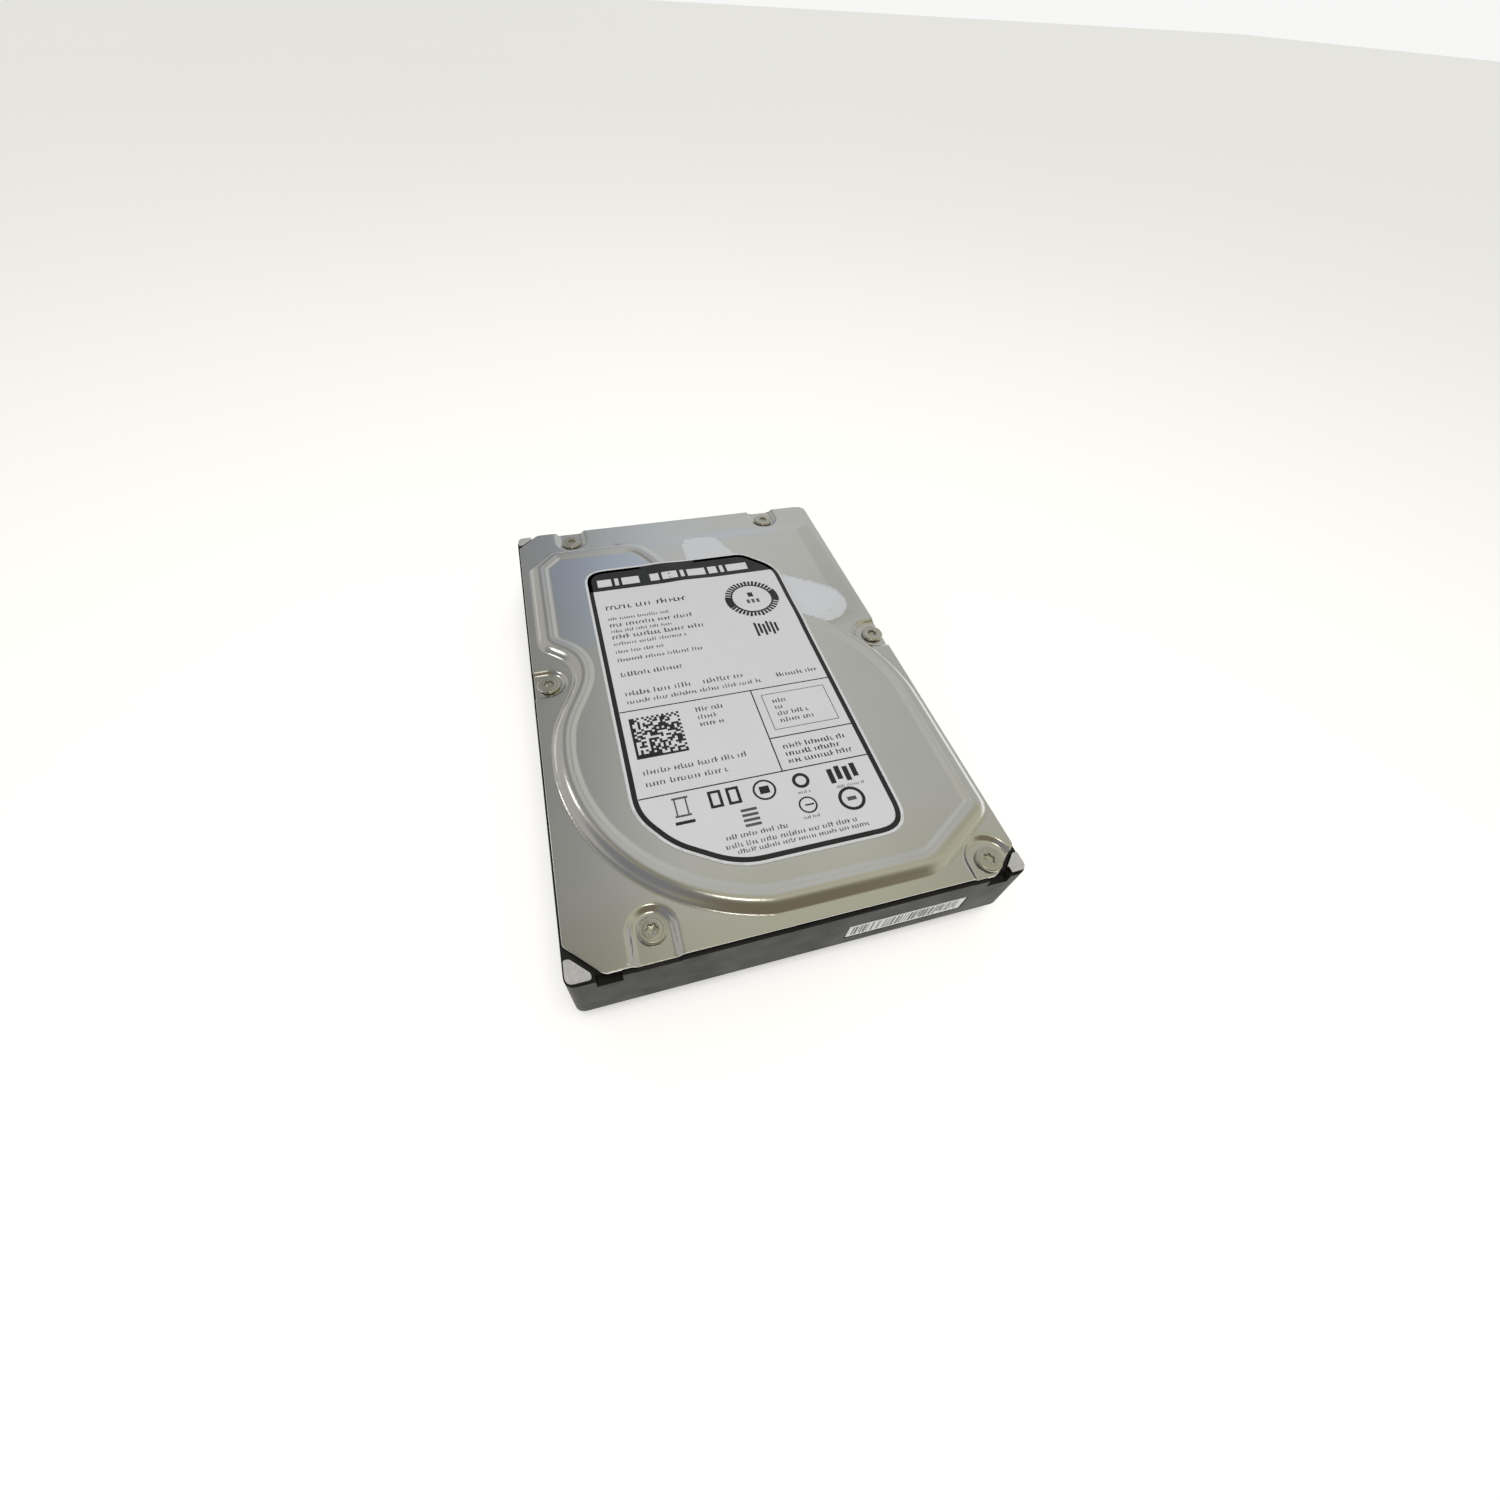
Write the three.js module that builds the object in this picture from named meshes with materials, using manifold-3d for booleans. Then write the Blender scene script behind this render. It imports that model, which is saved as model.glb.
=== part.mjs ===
// A 3.5-inch hard disk drive, built as the separate pieces it is made of.
// Millimetres, +Z up. The origin is at the middle of the drive's outline, on the plane its
// rails stand on. +X is to the right and +Y points to the connector end.

import * as THREE from 'three';
import { mergeVertices } from 'three/addons/utils/BufferGeometryUtils.js';
import Module from 'manifold-3d';

const wasm = await Module();
wasm.setup();

// ---------------------------------------------------------------- driving dimensions

const WIDTH = 101.6;                 // outline of the 3.5-inch form factor
const LENGTH = 147.0;
const SIDE = WIDTH / 2;
const END = LENGTH / 2;
const NEAR_STEP = 6;                 // the lower edge is cut back this far at the near end
const CORNER = 2.6;                  // set-back of the casting's rounded corners
const SMALL_GAP = 0.15;              // between flat pieces that lie on each other

// Heights above the plane of the rails
const Z = {
  board: 2.1, boardTop: 3.3,
  insulator: 3.45, insulatorTop: 5.35,
  bowl: 3.0, recess: 5.6, nearStep: 6.0, connectorRoof: 7.4,
  floor: 8.0, bossTop: 22.3, rim: 22.6, pad: 23.6,
  gasket: 22.75, gasketTop: 23.1,
  cover: 23.25, coverTop: 24.1, pocketUnder: 22.5, pocketFloor: 23.1,
  farFieldTop: 25.2, plateauTop: 25.8,
  label: 25.9, labelTop: 26.1,
};
const SHEET = 0.85;                  // thickness of the cover's pressed steel

// Spindle, platters and the platter chamber
const SPINDLE = { x: 0, y: -21.8 };
const PLATTER = { inner: 12.6, outer: 47.5, thick: 1.27, first: 10.25, pitch: 3.25, count: 4 };
const CHAMBER_RADIUS = 48.6;
const ROOM = { side: 46, near: 12, far: 61, corner: 5 };
const ARM_BAY = { left: -40.8, right: -30, near: -4, far: 16 };   // lets the arms swing to the outer track
const HUB_RADIUS = 12.4;
const CLAMP_RADIUS = 16;
const SHAFT_RADIUS = 2.4;
const MOTOR_FLANGE = 14.9;
const MOTOR_BOSS = 11.6;
const MOTOR_ISLAND = 19.3;           // round part of the casting inside the board's cut-out
const MOTOR_BASE = { bottom: 3.3, flangeTop: 5.0, bossTop: 8.5, seatTop: 8.8 };
const HUB = { bottom: 9.0, flangeTop: 10.1, cavityTop: 14.6, top: 21.2, flange: 15.5, cavity: 11.3 };
const STATOR = { teeth: 9, ring: [4.2, 6.4], tooth: [5.5, 10.6], halfAngle: 9, bottom: 9.4, top: 13.6 };
const CLAMP = { bottom: 21.4, top: 22.3, bore: 4, screws: 6, screwCircle: 8.6, screwHole: 1.2 };

// Head actuator: turns on a pivot beside the platters
const PIVOT = { x: -27.5, y: 29 };
const ARM_AT_REST = -82.8;           // degrees; heads parked over the inner landing zone
const ARM_SWING = 28;                // degrees to the outer track, clockwise from above
const ARM_REACH = 38;
const HEAD_REACH = 52;
const ARM_THICK = 0.7;
const BEARING = { bore: 3.5, radius: 7.0, bottom: 9.2, top: 22.4 };
const PIVOT_SHAFT = { radius: 3.2, top: 22.9 };
const BLOCK = { bore: 7.2, radius: 9.5, bottom: 8.9, top: 22.6 };
const COIL = { inner: 12.8, outer: 29.6, half: 18, bottom: 13.8, top: 16.2 };
const FORK = { inner: 9, outer: 31, half: 21.5, bottom: 13.5, top: 16.5 };
const VCM_CENTRE = ARM_AT_REST + 180 - ARM_SWING / 2;   // middle of the coil's sweep
const VCM = {
  inner: 12, outer: 31.5, half: 36, magnetHalf: 30,
  ear: [19, 26.6], earHalf: 45.5, legAngle: 42.2, legAt: 23, leg: 1.5,
  lowerPlateTop: 10.3, lowerMagnetTop: 13.2, upperMagnet: 16.8, upperPlate: 19.7, upperPlateTop: 21.9,
};
const CRASH_STOP = { radius: 1.2, at: 29, top: 18, clearance: 3.3 };

const LATCH = { x: -1.5, y: 55.5, bottom: 13.6, top: 16.0, pin: 0.7, bore: 1.0 };

// Circuit board under the casting
const BOARD = { side: 43.6, near: -15.5, far: 72.6, corner: 1.5, motorCut: 20.2 };
const CHIPS = {                      // [x0, x1, y0, y1, lower face] under the board
  controller_chip: [-9, 7, 30, 46, 0.7],
  cache_chip: [14, 26, 33, 44, 0.8],
  motor_driver_chip: [-27, -18, 4, 13, 0.9],
};
const BOARD_SCREWS = [[-39, 67.5], [39, 57.5], [-39, 22], [39, 22], [-30, -10.5], [30, -10.5]];

// Serial ATA plug on the board's edge: left is next to the jumper pins
const SATA = {
  left: 0.4, right: 41, back: 62.2, front: 73.2, bottom: 0.7, top: 7.1, boardEdge: 66,
  data: [4.9, 15.4], power: [17.8, 38.4], tongue: { bottom: 3.0, top: 4.2, key: 1.2 },
  leftGuide: 2.6, rightGuide: 1.6,
};
const JUMPERS = { x0: -8.6, x1: -1.0, y0: 62.5, y1: 69.8, top: 7.1 };

// Six cover screws, each in a pocket that runs out to the nearest edge
const COVER_SCREWS = [
  { x: -33.5, y: 67.7, pocket: 3.5, out: [0, 1] },
  { x: 33.5, y: 67.9, pocket: 3.5, out: [0, 1] },
  { x: -46.5, y: 4.9, pocket: 3.8, out: [-1, 0] },
  { x: 47.6, y: 4.8, pocket: 4.6, out: [1, 0] },
  { x: -32.5, y: -66.5, pocket: 3.9, out: [0, -1] },
  { x: 43.1, y: -69.1, pocket: 4.7, out: [0, -1] },
];
const SCREW = {
  head: 3.05, thick: 0.75, shaft: 1.2, hole: 1.6, socket: 0.95, socketDepth: 0.8, chamfer: 0.3, tip: 14,
};
const BOARD_SCREW = { head: 2.3, shaft: 1.0, socket: 0.8, socketTop: 1.6, headBottom: 0.9, tip: 7.2 };

const PAD_MARGIN = 0.4;
const CORNER_PADS = [
  { sx: -1, sy: -1, wide: 5.0, deep: 4.9 }, { sx: 1, sy: -1, wide: 4.4, deep: 4.2 },
  { sx: -1, sy: 1, wide: 4.2, deep: 4.0 },
];
const WALL_NOTCHES = { spans: [[-44.8, -39.6], [41.4, 46.6]], bottom: 19.7, deep: 1.8 };
const RAIL_INSIDE = 45;              // the rails are outside this, left and right
const FILTER = { x0: 34, x1: 42.5, y0: 27, y1: 33, top: 20 };
const BRACKET = { x0: 2, x1: 14, y0: 28, y1: 42, top: 12 };

// Mounting holes of the form factor, at their distances from the connector end
const MOUNT_HOLE = 1.45;
const MOUNT_DEPTH = 4.2;
const SIDE_HOLES = { z: 6.35, fromEnd: [28.5, 70.1, 130.1] };
const BOTTOM_HOLES = { x: 47.625, fromEnd: [41.28, 85.73, 117.48] };

// Plan of the cover and its raised parts: [x, y, corner set-back]
const COVER_PLAN = [
  [-50.2, -65.6, 0.6], [-43, -72.8, 0.6], [43.3, -72.8, 0.6], [50.2, -67.2, 0.6],
  [50.2, 73, 3.2], [-44.2, 73, 0.6], [-50.2, 66.8, 0.6],
];
const PLATEAU = { x: 1.2, y: -21.5, radius: 48.3, right: 49.0, near: -69.2 };
const FAR_FIELD_PLAN = [
  [-20, 64.2, 0], [48.7, 64.2, 4], [48.7, 12.8, 3], [38, 9, 0], [0, 0, 0], [-20, 20, 0],
];
const LABEL_PLAN = [
  [-32, 48.2, 6.5], [-32, -41.6, 5], [-25, -51, 4], [-12, -59.1, 6],
  [28.9, -59.1, 7.5], [28.9, 39.2, 5], [19.6, 48.2, 3],
];
const FAR_SEAL_PLAN = [[1.4, 49, 0], [1.4, 61.3, 5.5], [12.8, 61.3, 5], [16.9, 49, 0]];
const BARCODE = { x0: 9.6, x1: 38.2, z0: 9.7, z1: 15.7 };       // on the end away from the plug
const RIGHT_SEAL = { from: [29.5, 25.3], to: [36.6, 20.4], radius: 8.5 };

// ---------------------------------------------------------------- shape helpers

const FINE = 56;
const MEDIUM = 28;
const COARSE = 12;
const deg = THREE.MathUtils.degToRad;

function polar(centre, radius, degrees) {
  return [centre.x + radius * Math.cos(deg(degrees)), centre.y + radius * Math.sin(deg(degrees))];
}

// Closed outline through corners [x, y, setBack]; each corner is rounded over its set-back.
function outline(corners) {
  const shape = new THREE.Shape();
  corners.forEach(([x, y, setBack], i) => {
    const corner = new THREE.Vector2(x, y);
    const before = corners[(i + corners.length - 1) % corners.length];
    const after = corners[(i + 1) % corners.length];
    const start = stepTowards(corner, before, setBack);
    const end = stepTowards(corner, after, setBack);
    if (i === 0) shape.moveTo(start.x, start.y);
    else shape.lineTo(start.x, start.y);
    if (setBack > 0) shape.quadraticCurveTo(x, y, end.x, end.y);
  });
  shape.closePath();
  return shape;
}

function stepTowards(corner, [x, y], distance) {
  const way = new THREE.Vector2(x, y).sub(corner).normalize();
  return corner.clone().addScaledVector(way, distance);
}

function rectangle(x0, x1, y0, y1, corner = 0) {
  return outline([[x0, y0, corner], [x1, y0, corner], [x1, y1, corner], [x0, y1, corner]]);
}

function sectorShape(centre, inner, outer, middle, half) {
  const shape = new THREE.Shape();
  shape.absarc(centre.x, centre.y, outer, deg(middle - half), deg(middle + half), false);
  shape.absarc(centre.x, centre.y, inner, deg(middle + half), deg(middle - half), true);
  shape.closePath();
  return shape;
}

function slab(shape, z0, z1, curveSegments = 6) {
  const geometry = new THREE.ExtrudeGeometry(shape, { depth: z1 - z0, bevelEnabled: false, curveSegments });
  return solid(geometry.translate(0, 0, z0));
}

function box(x0, x1, y0, y1, z0, z1) {
  const geometry = new THREE.BoxGeometry(x1 - x0, y1 - y0, z1 - z0);
  return solid(geometry.translate((x0 + x1) / 2, (y0 + y1) / 2, (z0 + z1) / 2));
}

function rod(x, y, radius, z0, z1, segments = COARSE) {
  const geometry = new THREE.CylinderGeometry(radius, radius, z1 - z0, segments);
  return solid(geometry.rotateX(Math.PI / 2).translate(x, y, (z0 + z1) / 2));
}

// A turned piece: profile points are [radius, z], and close on themselves or on the axis.
function turned(centre, profile, segments = MEDIUM) {
  const points = profile.map(([radius, z]) => new THREE.Vector2(radius, z));
  if (profile[0][0] > 0) points.push(points[0].clone());
  const geometry = new THREE.LatheGeometry(points, segments);
  return solid(geometry.rotateX(Math.PI / 2).translate(centre.x, centre.y, 0));
}

function ring(centre, inner, outer, z0, z1, segments = MEDIUM) {
  return turned(centre, [[inner, z0], [outer, z0], [outer, z1], [inner, z1]], segments);
}

// A field pressed up from the sheet: sloped sides of the given rise and slope width.
function pressed(shape, top, rise, slope, inset) {
  const depth = 8;
  const geometry = new THREE.ExtrudeGeometry(shape, {
    depth, bevelThickness: rise, bevelSize: slope, bevelOffset: -slope - inset, bevelSegments: 1,
    curveSegments: 7,
  });
  return solid(geometry.translate(0, 0, top - rise - depth));
}

function solid(geometry) {
  geometry.deleteAttribute('normal');
  geometry.deleteAttribute('uv');
  const merged = mergeVertices(geometry, 1e-4);
  return new wasm.Manifold(new wasm.Mesh({
    numProp: 3,
    vertProperties: new Float32Array(merged.attributes.position.array),
    triVerts: new Uint32Array(merged.index.array),
  }));
}

function joined(solids) {
  return solids.reduce((sum, next) => sum.add(next));
}

function finish(color, roughness, metalness) {
  return new THREE.MeshStandardMaterial({ color, roughness, metalness });
}

const drive = new THREE.Group();

function piece(name, shape, material) {
  const { vertProperties, triVerts } = shape.getMesh();
  const geometry = new THREE.BufferGeometry();
  geometry.setAttribute('position', new THREE.BufferAttribute(new Float32Array(vertProperties), 3));
  geometry.setIndex(new THREE.BufferAttribute(new Uint32Array(triVerts), 1));
  geometry.computeVertexNormals();
  const mesh = new THREE.Mesh(geometry, material);
  mesh.name = name;
  drive.add(mesh);
}

// ---------------------------------------------------------------- materials

const BLACK_COAT = finish(0x34353a, 0.55, 0.4);
const COVER_STEEL = finish(0xa6a69d, 0.34, 0.95);
const SCREW_STEEL = finish(0xb9b6a8, 0.3, 1.0);
const PLAIN_STEEL = finish(0x9b9ea3, 0.35, 1.0);
const NICKEL = finish(0xc4c6c8, 0.25, 1.0);
const ALUMINIUM = finish(0xb7babd, 0.4, 0.9);
const MIRROR_DISK = finish(0xd9dbde, 0.05, 1.0);
const RUBBER = finish(0x1c1c1c, 0.85, 0.0);
const PAPER = finish(0xdfe1e4, 0.6, 0.0);
const FOIL = finish(0xb8bec6, 0.4, 0.6);
const BOARD_GREEN = finish(0x1f4a36, 0.5, 0.0);
const CHIP_BLACK = finish(0x18191b, 0.6, 0.0);
const PLASTIC_BLACK = finish(0x141415, 0.45, 0.0);
const COPPER = finish(0xb06a3b, 0.4, 0.9);
const POLYIMIDE = finish(0xb5742a, 0.4, 0.0);
const FOAM = finish(0x2a2a2c, 0.95, 0.0);
const FILTER_WHITE = finish(0xe6e4dc, 0.9, 0.0);
const RESIN = finish(0xc9b88d, 0.5, 0.0);

// ---------------------------------------------------------------- outlines shared by pieces

function pocketShape(screw, grow) {
  const radius = screw.pocket + grow;
  const outward = Math.atan2(screw.out[1], screw.out[0]);
  const shape = new THREE.Shape();
  shape.absarc(screw.x, screw.y, radius, outward + Math.PI / 2, outward + Math.PI * 1.5, false);
  const run = 9;
  const side = new THREE.Vector2(screw.out[1], -screw.out[0]).multiplyScalar(radius);
  shape.lineTo(screw.x + screw.out[0] * run + side.x, screw.y + screw.out[1] * run + side.y);
  shape.lineTo(screw.x + screw.out[0] * run - side.x, screw.y + screw.out[1] * run - side.y);
  shape.closePath();
  return shape;
}

function pockets(grow, z0, z1) {
  return joined(COVER_SCREWS.map((screw) => slab(pocketShape(screw, grow), z0, z1, 8)));
}

function chamber(grow, z0, z1) {
  const room = rectangle(
    -ROOM.side - grow, ROOM.side + grow, ROOM.near - grow, ROOM.far + grow, ROOM.corner,
  );
  const armBay = box(ARM_BAY.left - grow, ARM_BAY.right, ARM_BAY.near, ARM_BAY.far, z0, z1);
  return joined([
    rod(SPINDLE.x, SPINDLE.y, CHAMBER_RADIUS + grow, z0, z1, FINE), slab(room, z0, z1), armBay,
  ]);
}

// Foot of the cover's high plateau: a round end over the platters, a waist at the left screw
// and a chamfered bay over the voice coil motor.
function plateauShape() {
  const { x, y, radius, right, near } = PLATEAU;
  const shape = new THREE.Shape();
  shape.moveTo(-47.3, 54.2);
  shape.lineTo(-47.3, 21);
  shape.bezierCurveTo(-47.3, 14.5, -39.3, 15.5, -39.3, 6.5);
  shape.bezierCurveTo(-39.3, 0.5, -44.9, -5.2, ...polar(PLATEAU, radius, 170));
  shape.absarc(x, y, radius, deg(170), deg(260), false);
  shape.quadraticCurveTo(-2, near, 1.2, near);
  shape.lineTo(27, near);
  shape.quadraticCurveTo(30.5, near, 33.5, near + 1.9);
  shape.lineTo(46.4, -59.3);
  shape.quadraticCurveTo(right, -57.6, right, -54.6);
  shape.lineTo(right, -24);
  shape.absarc(x, y, right - x, deg(4), deg(55), false);
  shape.bezierCurveTo(18, 26, 2, 32, -4.5, 48);
  shape.bezierCurveTo(-8.5, 57, -11, 61.4, -18, 61.4);
  shape.lineTo(-40.4, 61.4);
  shape.closePath();
  return shape;
}

// ---------------------------------------------------------------- casing

// Raised triangular lands in three corners, with their points cut off and rounded.
function cornerPads(z0, z1) {
  return joined(CORNER_PADS.map(({ sx, sy, wide, deep }) => {
    const x = SIDE - PAD_MARGIN;
    const y = END - PAD_MARGIN;
    const tip = 1.2;
    const corners = [
      [x, y, 1.8], [x - wide, y, 0.5], [x - wide, y - tip, 0.5], [x - tip, y - deep, 0.5],
      [x, y - deep, 0.5],
    ];
    return slab(outline(corners.map(([cx, cy, back]) => [sx * cx, sy * cy, back])), z0, z1);
  }));
}

function mountingHoles() {
  const holes = [];
  for (const sx of [-1, 1]) {
    for (const fromEnd of SIDE_HOLES.fromEnd) {
      const hole = new THREE.CylinderGeometry(MOUNT_HOLE, MOUNT_HOLE, 2 * MOUNT_DEPTH, COARSE);
      hole.rotateZ(Math.PI / 2).translate(sx * SIDE, END - fromEnd, SIDE_HOLES.z);
      holes.push(solid(hole));
    }
    for (const fromEnd of BOTTOM_HOLES.fromEnd) {
      holes.push(rod(sx * BOTTOM_HOLES.x, END - fromEnd, MOUNT_HOLE, -1, MOUNT_DEPTH + 1));
    }
  }
  return joined(holes);
}

function baseCasting() {
  const recessSide = RAIL_INSIDE;
  const body = slab(rectangle(-SIDE, SIDE, -END, END, CORNER), 0, Z.pad);
  const aboveRim = box(-SIDE - 1, SIDE + 1, -END - 1, END + 1, Z.rim, Z.pad + 1)
    .subtract(cornerPads(Z.rim - 1, Z.pad + 2));
  const underside = box(-recessSide, recessSide, -END + NEAR_STEP, END + 1, -1, Z.bowl);
  const nearStep = box(-SIDE - 1, SIDE + 1, -END - 1, -END + NEAR_STEP, -1, Z.nearStep);
  const boardRecess = box(-recessSide, recessSide, -17, END + 1, Z.bowl - 1, Z.recess)
    .subtract(rod(SPINDLE.x, SPINDLE.y, MOTOR_ISLAND, 0, Z.recess + 1, MEDIUM));
  const connectorRecess = box(-10, recessSide - 1.5, 61.8, END + 1, Z.recess - 1, Z.connectorRoof);
  const motorSeat = rod(SPINDLE.x, SPINDLE.y, MOTOR_FLANGE + 0.3, -1, 5.2, MEDIUM)
    .add(rod(SPINDLE.x, SPINDLE.y, MOTOR_BOSS + 0.3, 5, Z.floor + 1, MEDIUM));
  const screwHoles = joined(COVER_SCREWS.map(({ x, y }) => rod(x, y, SCREW.hole, 13.5, 24, 12)));
  const boardHoles = joined(BOARD_SCREWS.map(([x, y]) => rod(x, y, 1.35, 5, 7.5, 10)));
  const barcodeSeat = box(BARCODE.x0 - 0.3, BARCODE.x1 + 0.3, -END - 1, -END + 0.35,
    BARCODE.z0 - 0.3, BARCODE.z1 + 0.3);
  const wallNotches = joined(WALL_NOTCHES.spans.map(([x0, x1]) => (
    box(x0, x1, -END - 1, -END + WALL_NOTCHES.deep, WALL_NOTCHES.bottom, Z.pad + 1)
  )));
  const latchPin = rod(LATCH.x, LATCH.y, LATCH.pin, Z.floor - 1, LATCH.top + 1, 12);
  return body.subtract(aboveRim)
    .subtract(chamber(0, Z.floor, Z.pad + 1))
    .add(latchPin)
    .subtract(underside).subtract(nearStep).subtract(boardRecess).subtract(connectorRecess)
    .subtract(motorSeat).subtract(barcodeSeat).subtract(wallNotches)
    .subtract(pockets(0.9, Z.bossTop, Z.rim + 0.5))
    .subtract(screwHoles).subtract(boardHoles).subtract(mountingHoles());
}

function topCover() {
  const plan = outline(COVER_PLAN);
  const below = box(-90, 90, -90, 90, -10, Z.cover);
  const plateau = pressed(plateauShape(), Z.plateauTop, Z.plateauTop - Z.coverTop, 1.6, 0);
  const farField = pressed(outline(FAR_FIELD_PLAN), Z.farFieldTop, Z.farFieldTop - Z.coverTop, 1.6, 0);
  const plateauHollow = pressed(plateauShape(), Z.plateauTop - SHEET, 1.6, 1.5, SHEET);
  const farHollow = pressed(outline(FAR_FIELD_PLAN), Z.farFieldTop - SHEET, 1.0, 1.5, SHEET + 0.3);
  const pocketPads = pockets(0.6, Z.pocketUnder, Z.cover + 0.4)
    .intersect(slab(plan, Z.pocketUnder - 1, Z.coverTop));
  const screwHoles = joined(COVER_SCREWS.map(({ x, y }) => rod(x, y, SCREW.hole, 20, 27, 12)));
  return slab(plan, Z.cover, Z.coverTop)
    .add(plateau.subtract(below)).add(farField.subtract(below))
    .subtract(plateauHollow).subtract(farHollow)
    .add(pocketPads)
    .subtract(pockets(0, Z.pocketFloor, Z.plateauTop + 1))
    .subtract(screwHoles);
}

function coverGasket() {
  const outside = chamber(1.4, Z.gasket, Z.gasketTop);
  const inside = chamber(0.2, Z.gasket - 1, Z.gasketTop + 1);
  return outside.subtract(inside).subtract(pockets(0.7, Z.gasket - 1, Z.gasketTop + 1));
}

// Flat-head screw with a round socket for a six-lobed driver; top is the head's upper face.
function headedScrew(x, y, top, bottom) {
  const { head, shaft, socket, chamfer } = SCREW;
  const under = top - SCREW.thick;
  const socketFloor = top - SCREW.socketDepth;
  return turned({ x, y }, [
    [0, bottom], [shaft, bottom], [shaft, under], [head, under], [head, top - chamfer],
    [head - chamfer, top], [socket, top], [socket, socketFloor], [0, socketFloor],
  ], COARSE);
}

piece('base_casting', baseCasting(), BLACK_COAT);
piece('top_cover', topCover(), COVER_STEEL);
piece('cover_gasket', coverGasket(), RUBBER);
COVER_SCREWS.forEach(({ x, y }, i) => {
  const headTop = Z.pocketFloor + SMALL_GAP + SCREW.thick;
  piece(`cover_screw_${i + 1}`, headedScrew(x, y, headTop, SCREW.tip), SCREW_STEEL);
});

// ---------------------------------------------------------------- labels and seals

function stadium([x0, y0], [x1, y1], radius) {
  const along = Math.atan2(y1 - y0, x1 - x0);
  const shape = new THREE.Shape();
  shape.absarc(x1, y1, radius, along - Math.PI / 2, along + Math.PI / 2, false);
  shape.absarc(x0, y0, radius, along + Math.PI / 2, along + Math.PI * 1.5, false);
  shape.closePath();
  return shape;
}

const FOIL_BOTTOM = Z.farFieldTop + 0.05;
const labelFootprint = slab(outline(LABEL_PLAN), Z.farFieldTop - 1, Z.labelTop);
const rightSeal = stadium(RIGHT_SEAL.from, RIGHT_SEAL.to, RIGHT_SEAL.radius);
const plateauBlock = pressed(plateauShape(), Z.plateauTop, Z.plateauTop - Z.coverTop, 1.6, -0.2);

piece('product_label', slab(outline(LABEL_PLAN), Z.label, Z.labelTop), PAPER);
piece('far_seal', slab(outline(FAR_SEAL_PLAN), FOIL_BOTTOM, FOIL_BOTTOM + 0.12)
  .subtract(labelFootprint), FOIL);
piece('right_seal', slab(rightSeal, FOIL_BOTTOM, FOIL_BOTTOM + 0.12, 10)
  .subtract(plateauBlock).subtract(labelFootprint), FOIL);
piece('end_barcode_label', box(
  BARCODE.x0, BARCODE.x1, -END + 0.05, -END + 0.2, BARCODE.z0, BARCODE.z1,
), PAPER);

// ---------------------------------------------------------------- spindle motor and platters

function spindleHub() {
  const bore = SHAFT_RADIUS + 0.3;
  return turned(SPINDLE, [
    [bore, HUB.cavityTop], [HUB.cavity, HUB.cavityTop], [HUB.cavity, HUB.bottom],
    [HUB.flange, HUB.bottom], [HUB.flange, HUB.flangeTop], [HUB_RADIUS, HUB.flangeTop],
    [HUB_RADIUS, HUB.top], [bore, HUB.top],
  ]);
}

function motorBase() {
  const { bottom, flangeTop, bossTop, seatTop } = MOTOR_BASE;
  return turned(SPINDLE, [
    [0, bottom], [MOTOR_FLANGE, bottom], [MOTOR_FLANGE, flangeTop], [MOTOR_BOSS, flangeTop],
    [MOTOR_BOSS, bossTop], [STATOR.ring[0], bossTop], [STATOR.ring[0], seatTop], [0, seatTop],
  ]);
}

function stator() {
  const { teeth, bottom, top } = STATOR;
  const arms = Array.from({ length: teeth }, (_, i) => (
    slab(sectorShape(SPINDLE, ...STATOR.tooth, (360 / teeth) * i, STATOR.halfAngle), bottom, top, 3)
  ));
  return joined([ring(SPINDLE, ...STATOR.ring, bottom, top, 24), ...arms]);
}

function diskClamp() {
  const { bottom, top, screws } = CLAMP;
  const holes = Array.from({ length: screws }, (_, i) => {
    const [x, y] = polar(SPINDLE, CLAMP.screwCircle, (360 / screws) * i);
    return rod(x, y, CLAMP.screwHole, bottom - 1, top + 1, 8);
  });
  return ring(SPINDLE, CLAMP.bore, CLAMP_RADIUS, bottom, top).subtract(joined(holes));
}

piece('motor_base', motorBase(), ALUMINIUM);
piece('spindle_shaft', rod(SPINDLE.x, SPINDLE.y, SHAFT_RADIUS, MOTOR_BASE.seatTop + 0.2, 22.8), PLAIN_STEEL);
piece('motor_stator', stator(), COPPER);
piece('spindle_hub', spindleHub(), ALUMINIUM);
for (let i = 0; i < PLATTER.count; i += 1) {
  const bottom = PLATTER.first + i * PLATTER.pitch;
  const top = bottom + PLATTER.thick;
  piece(`platter_${i + 1}`, ring(SPINDLE, PLATTER.inner, PLATTER.outer, bottom, top, 40), MIRROR_DISK);
  if (i < PLATTER.count - 1) {
    const spacer = ring(SPINDLE, PLATTER.inner, CLAMP_RADIUS, top + 0.1, bottom + PLATTER.pitch - 0.1, 24);
    piece(`platter_spacer_${i + 1}`, spacer, ALUMINIUM);
  }
}
piece('disk_clamp', diskClamp(), PLAIN_STEEL);

// ---------------------------------------------------------------- head actuator

// Arms reach into the gaps between platters, and lie below the first and above the last.
const ARM_LEVELS = Array.from({ length: PLATTER.count + 1 }, (_, i) => (
  PLATTER.first + (PLATTER.thick - PLATTER.pitch) / 2 + i * PLATTER.pitch
));

// Outline along the arm: [distance from the pivot, offset to its left], turned to the arm.
function alongArm(points) {
  const way = deg(ARM_AT_REST);
  return outline(points.map(([along, left, setBack]) => [
    PIVOT.x + along * Math.cos(way) - left * Math.sin(way),
    PIVOT.y + along * Math.sin(way) + left * Math.cos(way),
    setBack,
  ]));
}

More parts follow.
